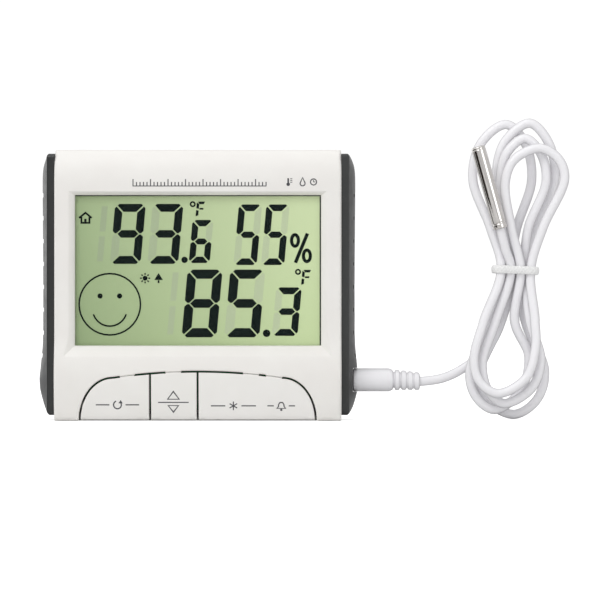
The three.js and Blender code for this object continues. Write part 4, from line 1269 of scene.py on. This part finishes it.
def build_plug():
    end = PLUG_SHOULDER_X
    profile = [
        (PLUG_START_X, 0), (PLUG_START_X, PLUG_RADIUS - 0.3), (PLUG_START_X + 0.3, PLUG_RADIUS),
        (end - 1.6, PLUG_RADIUS), (end - 0.4, PLUG_RADIUS - 0.5), (end, PLUG_NECK),
    ]
    for index, radius in enumerate(PLUG_RIBS):
        start = end + index * PLUG_RIB_PITCH
        neck = min(PLUG_NECK, radius - 0.6)
        profile += [
            (start + 0.3, neck), (start + 0.55, radius - 0.08), (start + 1.25, radius),
            (start + PLUG_RIB_PITCH - 0.3, radius - 0.12), (start + PLUG_RIB_PITCH - 0.02, neck),
        ]
    bore = CABLE_RADIUS + 0.08
    relief_end = RELIEF_END_X
    bore_end = relief_end - 1.6
    profile += [(relief_end, bore + 0.3), (relief_end, bore), (bore_end, bore), (bore_end, 0)]
    origin = (0, JACK_Y, JACK_Z)
    body = lathe("plug_body_moulding", softened(profile, 0.28), origin, (1, 0, 0), CABLE_WHITE, 64)
    for vert in body.data.vertices:
        share = max(0, vert.co.x / MM - end) / (relief_end - end)
        vert.co.z -= RELIEF_DROOP * share ** 1.4 * MM
    settle(body, "probe_lead", "cable_white", "plug_body")

    end = PLUG_START_X - 0.05
    profile = [(SHAFT_TIP_X, 0), (SHAFT_TIP_X, 0.5), (SHAFT_TIP_X + 1.6, SHAFT_RADIUS)]
    profile += [(SHAFT_TIP_X + 2.6, SHAFT_RADIUS - 0.5), (SHAFT_TIP_X + 3.4, SHAFT_RADIUS)]
    for ring_x in SHAFT_RINGS_X:
        profile += [(ring_x, SHAFT_RADIUS), (ring_x + 0.1, SHAFT_RADIUS - 0.1)]
        profile += [(ring_x + 0.8, SHAFT_RADIUS - 0.1), (ring_x + 0.9, SHAFT_RADIUS)]
    profile += [(end, SHAFT_RADIUS), (end, 0)]
    shaft = lathe("plug_shaft_turned", softened(profile, 0.2), origin, (1, 0, 0), STEEL, 40)
    settle(shaft, "probe_lead", "polished_steel", "plug_shaft")


def build_lead():
    low, high = np.array(PROBE_LOW), np.array(PROBE_HIGH)
    length = float(np.linalg.norm(high - low))
    axis = (high - low) / length
    stops = []
    for stop in CABLE_RUN:
        if isinstance(stop, str):
            column, layer = STRANDS[stop]
            stops.append((WAIST_X + column * STRAND_PITCH, layer * STRAND_LAYER, WAIST_Z))
        elif isinstance(stop, list):
            stops += rounded_loop(*stop)
        else:
            stops.append(stop)
    stops.append(tuple(low + axis * 0.8))
    run = catmull(stops, CABLE_SPAN_STEPS)
    lead = tube("probe_lead_cable", run, CABLE_RADIUS, CABLE_SIDES, CABLE_WHITE)
    settle(lead, "probe_lead", "cable_white", "probe_cable")

    bore = CABLE_RADIUS + 0.2
    profile = [(2, 0), (2, bore), (0.1, bore), (0, bore + 0.1)]
    foot = [(0, -0.25), (0.25, -0.05), (1.5, -0.05), (1.7, -0.22), (2.1, -0.22), (2.3, 0)]
    profile += [(along, PROBE_RADIUS + step) for along, step in foot]
    crown = [(1.5, 0), (1.25, -0.12), (0.9, -0.03), (0.35, -0.18), (0.05, -0.8), (0.12, -1.5)]
    profile += [(length - along, PROBE_RADIUS + step) for along, step in crown]
    profile.append((length - 0.3, 0))
    probe = lathe("probe_tube_turned", softened(profile, 0.18), PROBE_LOW, axis, STEEL, 64)
    settle(probe, "probe_lead", "polished_steel", "probe_tube")


TIE_HALF_X, TIE_HALF_Y = 7.05, 5.2
TIE_CORNER = 1.9
TIE_WALL = 0.8
TIE_HEIGHT = 2.9
TIE_TILT = 2.5
TIE_HALF_DEPTH = 0.66
TIE_OUTWARD = 0.05
TIE_SIDES = 40
BRAID_PITCH = 1.15
BRAID_TURN = 5
BRAID_DEPTH = 0.11


def tie_path(step=0.14):
    """The middle of the tie's band, evenly stepped round its rounded rectangle."""
    grow = TIE_WALL / 2 + TIE_OUTWARD
    radius = TIE_CORNER + grow
    flat_x, flat_y = TIE_HALF_X + grow - radius, TIE_HALF_Y + grow - radius
    corners = []
    for (sx, sy), start in (((1, 1), 0), ((-1, 1), 90), ((-1, -1), 180), ((1, -1), 270)):
        for degrees in range(start, start + 91, 6):
            a = math.radians(degrees)
            corners.append((sx * flat_x + radius * math.cos(a), sy * flat_y + radius * math.sin(a)))
    return divide(corners, step)


def build_tie():
    path = np.array(tie_path())
    ahead = np.roll(path, -1, axis=0) - np.roll(path, 1, axis=0)
    ahead /= np.linalg.norm(ahead, axis=1)[:, None]
    out = np.stack([ahead[:, 1], -ahead[:, 0]], 1)
    run = np.concatenate([[0], np.cumsum(np.linalg.norm(np.diff(path, axis=0), axis=1))])
    total = run[-1] + np.linalg.norm(path[0] - path[-1])
    turns = round(total / BRAID_PITCH)
    sides = TIE_SIDES
    tilt = math.radians(TIE_TILT)
    points = []
    for (x, y), (ox, oy), s in zip(path, out, run):
        for i in range(sides):
            v = 2 * math.pi * i / sides
            wave = 2 * math.pi * turns * s / total
            braid = max(math.sin(wave + BRAID_TURN * v), math.sin(wave - BRAID_TURN * v))
            relief = BRAID_DEPTH * (braid - 1)
            reach = (TIE_HALF_DEPTH + relief) * math.cos(v)
            rise = (TIE_HEIGHT / 2 + relief) * math.sin(v)
            px, py = x + ox * reach, y + oy * reach
            points.append((
                WAIST_X + px * math.cos(tilt) + rise * math.sin(tilt), py,
                WAIST_Z - px * math.sin(tilt) + rise * math.cos(tilt),
            ))
    faces = ring_faces(len(path), sides, closed=True)
    band = mesh_piece("cable_tie_band", points, faces, TIE_WHITE, 60, weld=False)
    settle(band, "probe_lead", "tie_white", "cable_tie")


# ---- CAD nodes that stay, with eased edges and their own finishes ----


def smoothing_group():
    """A node group that shades faces smooth, apart from edges sharper than 35 degrees."""
    group = bpy.data.node_groups.new("shade_smooth", "GeometryNodeTree")
    group.interface.new_socket("Geometry", in_out="INPUT", socket_type="NodeSocketGeometry")
    group.interface.new_socket("Geometry", in_out="OUTPUT", socket_type="NodeSocketGeometry")
    nodes, links = group.nodes, group.links
    start = nodes.new("NodeGroupInput")
    end = nodes.new("NodeGroupOutput")
    angle = nodes.new("GeometryNodeInputMeshEdgeAngle")
    compare = nodes.new("FunctionNodeCompare")
    compare.data_type = "FLOAT"
    compare.operation = "LESS_THAN"
    compare.inputs[1].default_value = math.radians(35)
    faces = nodes.new("GeometryNodeSetShadeSmooth")
    faces.domain = "FACE"
    edges = nodes.new("GeometryNodeSetShadeSmooth")
    edges.domain = "EDGE"
    links.new(start.outputs[0], faces.inputs["Geometry"])
    links.new(faces.outputs["Geometry"], edges.inputs["Geometry"])
    links.new(angle.outputs["Unsigned Angle"], compare.inputs[0])
    links.new(compare.outputs["Result"], edges.inputs["Shade Smooth"])
    links.new(edges.outputs["Geometry"], end.inputs[0])
    return group


SMOOTHING = smoothing_group()


def finish_node(node, material, round_mm):
    """Gives a CAD node its material and eases its edges, without changing its mesh."""
    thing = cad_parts[node]
    for place in thing.material_slots:
        place.material = material
    if not thing.material_slots:
        thing.data.materials.append(material)
    weld = thing.modifiers.new("weld", "WELD")
    weld.merge_threshold = 0.001 * MM
    flatten = thing.modifiers.new("flatten", "DECIMATE")
    flatten.decimate_type = "DISSOLVE"
    flatten.angle_limit = math.radians(0.5)
    if round_mm:
        ease = thing.modifiers.new("ease", "BEVEL")
        ease.width = round_mm * MM
        ease.segments = 2
        ease.limit_method = "ANGLE"
        ease.angle_limit = math.radians(35)
        ease.use_clamp_overlap = True
    smooth = thing.modifiers.new("smooth", "NODES")
    smooth.node_group = SMOOTHING


KEPT = [
    ("rear_shell", HOUSING_WHITE, 0.2), ("battery_door", HOUSING_WHITE, 0.2), ("stand", HOUSING_WHITE, 0.2),
    ("display_window", CLEAR, 0), ("lcd_panel", LCD_GREEN, 0), ("lcd_frame", BLACK_PLASTIC, 0.1),
    ("zebra_strip", ELASTOMER, 0.15), ("circuit_board", BOARD_GREEN, 0.08), ("controller", BLACK_PLASTIC, 0),
    ("crystal", TIN, 0.15), ("buzzer", BLACK_PLASTIC, 0.15), ("humidity_sensor", SENSOR_WHITE, 0.15),
    ("air_sensor", BLACK_PLASTIC, 0), ("jack_socket", BLACK_PLASTIC, 0.15), ("battery", CELL_SLEEVE, 0),
    ("positive_contact", TIN, 0.08), ("negative_contact", TIN, 0), ("unit_switch_body", BLACK_PLASTIC, 0.15),
    ("unit_switch_slider", BLACK_PLASTIC, 0.25),
    *[(f"{side}_switch_body", BLACK_PLASTIC, 0.15) for side in ("left", "middle", "right")],
    *[(f"{side}_switch_plunger", SENSOR_WHITE, 0.1) for side in ("left", "middle", "right")],
    *[(f"board_screw_{i}", TIN, 0.1) for i in range(1, 5)],
    *[(f"case_screw_{i}", TIN, 0.12) for i in range(1, 5)],
]


# ---- stage, lights and camera (metres and watts) ----

FLOOR_HALF = 4.0
FLOOR_GLOW = 0.7
WORLD_LIGHT, WORLD_SEEN = 0.71, 1.05
CAMERA_PLACE = (0.0355, -0.8763, 0.042)
CAMERA_LENS, CAMERA_SENSOR = 150, 36
# name, place, aim, width, height, power, and the rays that don't see it
LIGHTS = [
    ("key_light", (-0.45, -0.8, 1.0), (0.03, 0, 0.05), 0.7, 0.5, 4.45, None),
    ("top_light", (0.05, 0.1, 1.2), (0.05, 0, 0.05), 0.9, 0.5, 1.6, None),
    ("low_light", (0.03, -0.6, 0.03), (0.02, 0, 0.09), 0.6, 0.05, 0.33, "glossy"),
    ("left_light", (-1.0, -0.35, 0.3), (0, 0, 0.05), 0.5, 0.5, 0.8, None),
    ("right_shine", (0.5, -0.55, 0.22), (0.1, 0, 0.08), 0.3, 0.5, 0.8, "diffuse"),
    ("left_shine", (-0.55, 0.5, 0.1), (-0.05, 0, 0.05), 0.5, 0.6, 0.58, "diffuse"),
]
CARD_START, CARD_END, CARD_TOP = (-0.079, -0.179), (-0.148, -0.029), 0.15


def floor_material():
    """A plain pale floor, lifted towards white where the camera sees it."""
    shader = Shader("floor_white").set(Emission_Color=(1, 1, 1, 1), Roughness=0.9)
    shader.into(shader.drift(80, (0.68, 0.68, 0.68), (0.7, 0.7, 0.7)), "Base Color")
    ray = shader.nodes.new("ShaderNodeLightPath")
    shader.into(shader.spread(ray.outputs["Is Camera Ray"], 0, FLOOR_GLOW, 0, 1), "Emission Strength")
    return shader.material


def build_stage():
    floor = bpy.data.meshes.new("floor")
    half = FLOOR_HALF
    corners = [(-half, -half, 0), (half, -half, 0), (half, half, 0), (-half, half, 0)]
    floor.from_pydata(corners, [], [(0, 1, 2, 3)])
    floor.materials.append(floor_material())
    link("floor", floor)


def soft_light(name, place, aim, width, height, watts):
    lamp = bpy.data.lights.new(name, "AREA")
    lamp.shape = "RECTANGLE"
    lamp.size = width
    lamp.size_y = height
    lamp.energy = watts
    thing = bpy.data.objects.new(name, lamp)
    bpy.context.scene.collection.objects.link(thing)
    thing.location = place
    thing.rotation_mode = "QUATERNION"
    thing.rotation_quaternion = (Vector(aim) - Vector(place)).to_track_quat("-Z", "Y")
    thing.visible_camera = False
    return thing


def dark_card(name, start, end, top):
    """An upright dark sheet between two floor points, seen only in reflections."""
    (x0, y0), (x1, y1) = start, end
    sheet = bpy.data.meshes.new(name)
    sheet.from_pydata([(x0, y0, 0.001), (x1, y1, 0.001), (x1, y1, top), (x0, y0, top)], [], [(0, 1, 2, 3)])
    shader = Shader(name).set(Roughness=1.0, Specular_IOR_Level=0.0)
    shader.into(shader.drift(60, (0.018, 0.012, 0.01), (0.024, 0.017, 0.014)), "Base Color")
    sheet.materials.append(shader.material)
    card = link(name, sheet)
    card.visible_camera = False
    card.visible_diffuse = False
    card.visible_shadow = False
    card.visible_transmission = False


def build_lights():
    for name, place, aim, width, height, watts, unseen_by in LIGHTS:
        lamp = soft_light(name, place, aim, width, height, watts)
        lamp.visible_glossy = unseen_by != "glossy"
        lamp.visible_diffuse = unseen_by != "diffuse"
    dark_card("dark_card", CARD_START, CARD_END, CARD_TOP)
    world = bpy.data.worlds.new("studio")
    bpy.context.scene.world = world
    world.use_nodes = True
    nodes, links = world.node_tree.nodes, world.node_tree.links
    ray = nodes.new("ShaderNodeLightPath")
    level = nodes.new("ShaderNodeMapRange")
    level.inputs["To Min"].default_value = WORLD_LIGHT
    level.inputs["To Max"].default_value = WORLD_SEEN
    links.new(ray.outputs["Is Camera Ray"], level.inputs["Value"])
    nodes["Background"].inputs["Color"].default_value = (1, 1, 1, 1)
    links.new(level.outputs["Result"], nodes["Background"].inputs["Strength"])


def build_camera():
    camera = bpy.data.cameras.new("camera")
    camera.lens = CAMERA_LENS
    camera.sensor_width = CAMERA_SENSOR
    camera.clip_start = 0.05
    camera.clip_end = 20
    thing = bpy.data.objects.new("camera", camera)
    bpy.context.scene.collection.objects.link(thing)
    thing.location = CAMERA_PLACE
    thing.rotation_euler = (math.radians(90), 0, 0)
    bpy.context.scene.camera = thing


build_front_shell()
build_keys()
build_display()
build_prints()
build_grips()
build_plug()
build_lead()
build_tie()
for kept_node, kept_material, kept_round in KEPT:
    finish_node(kept_node, kept_material, kept_round)
build_stage()
build_lights()
build_camera()
bpy.context.scene.view_settings.view_transform = "Standard"
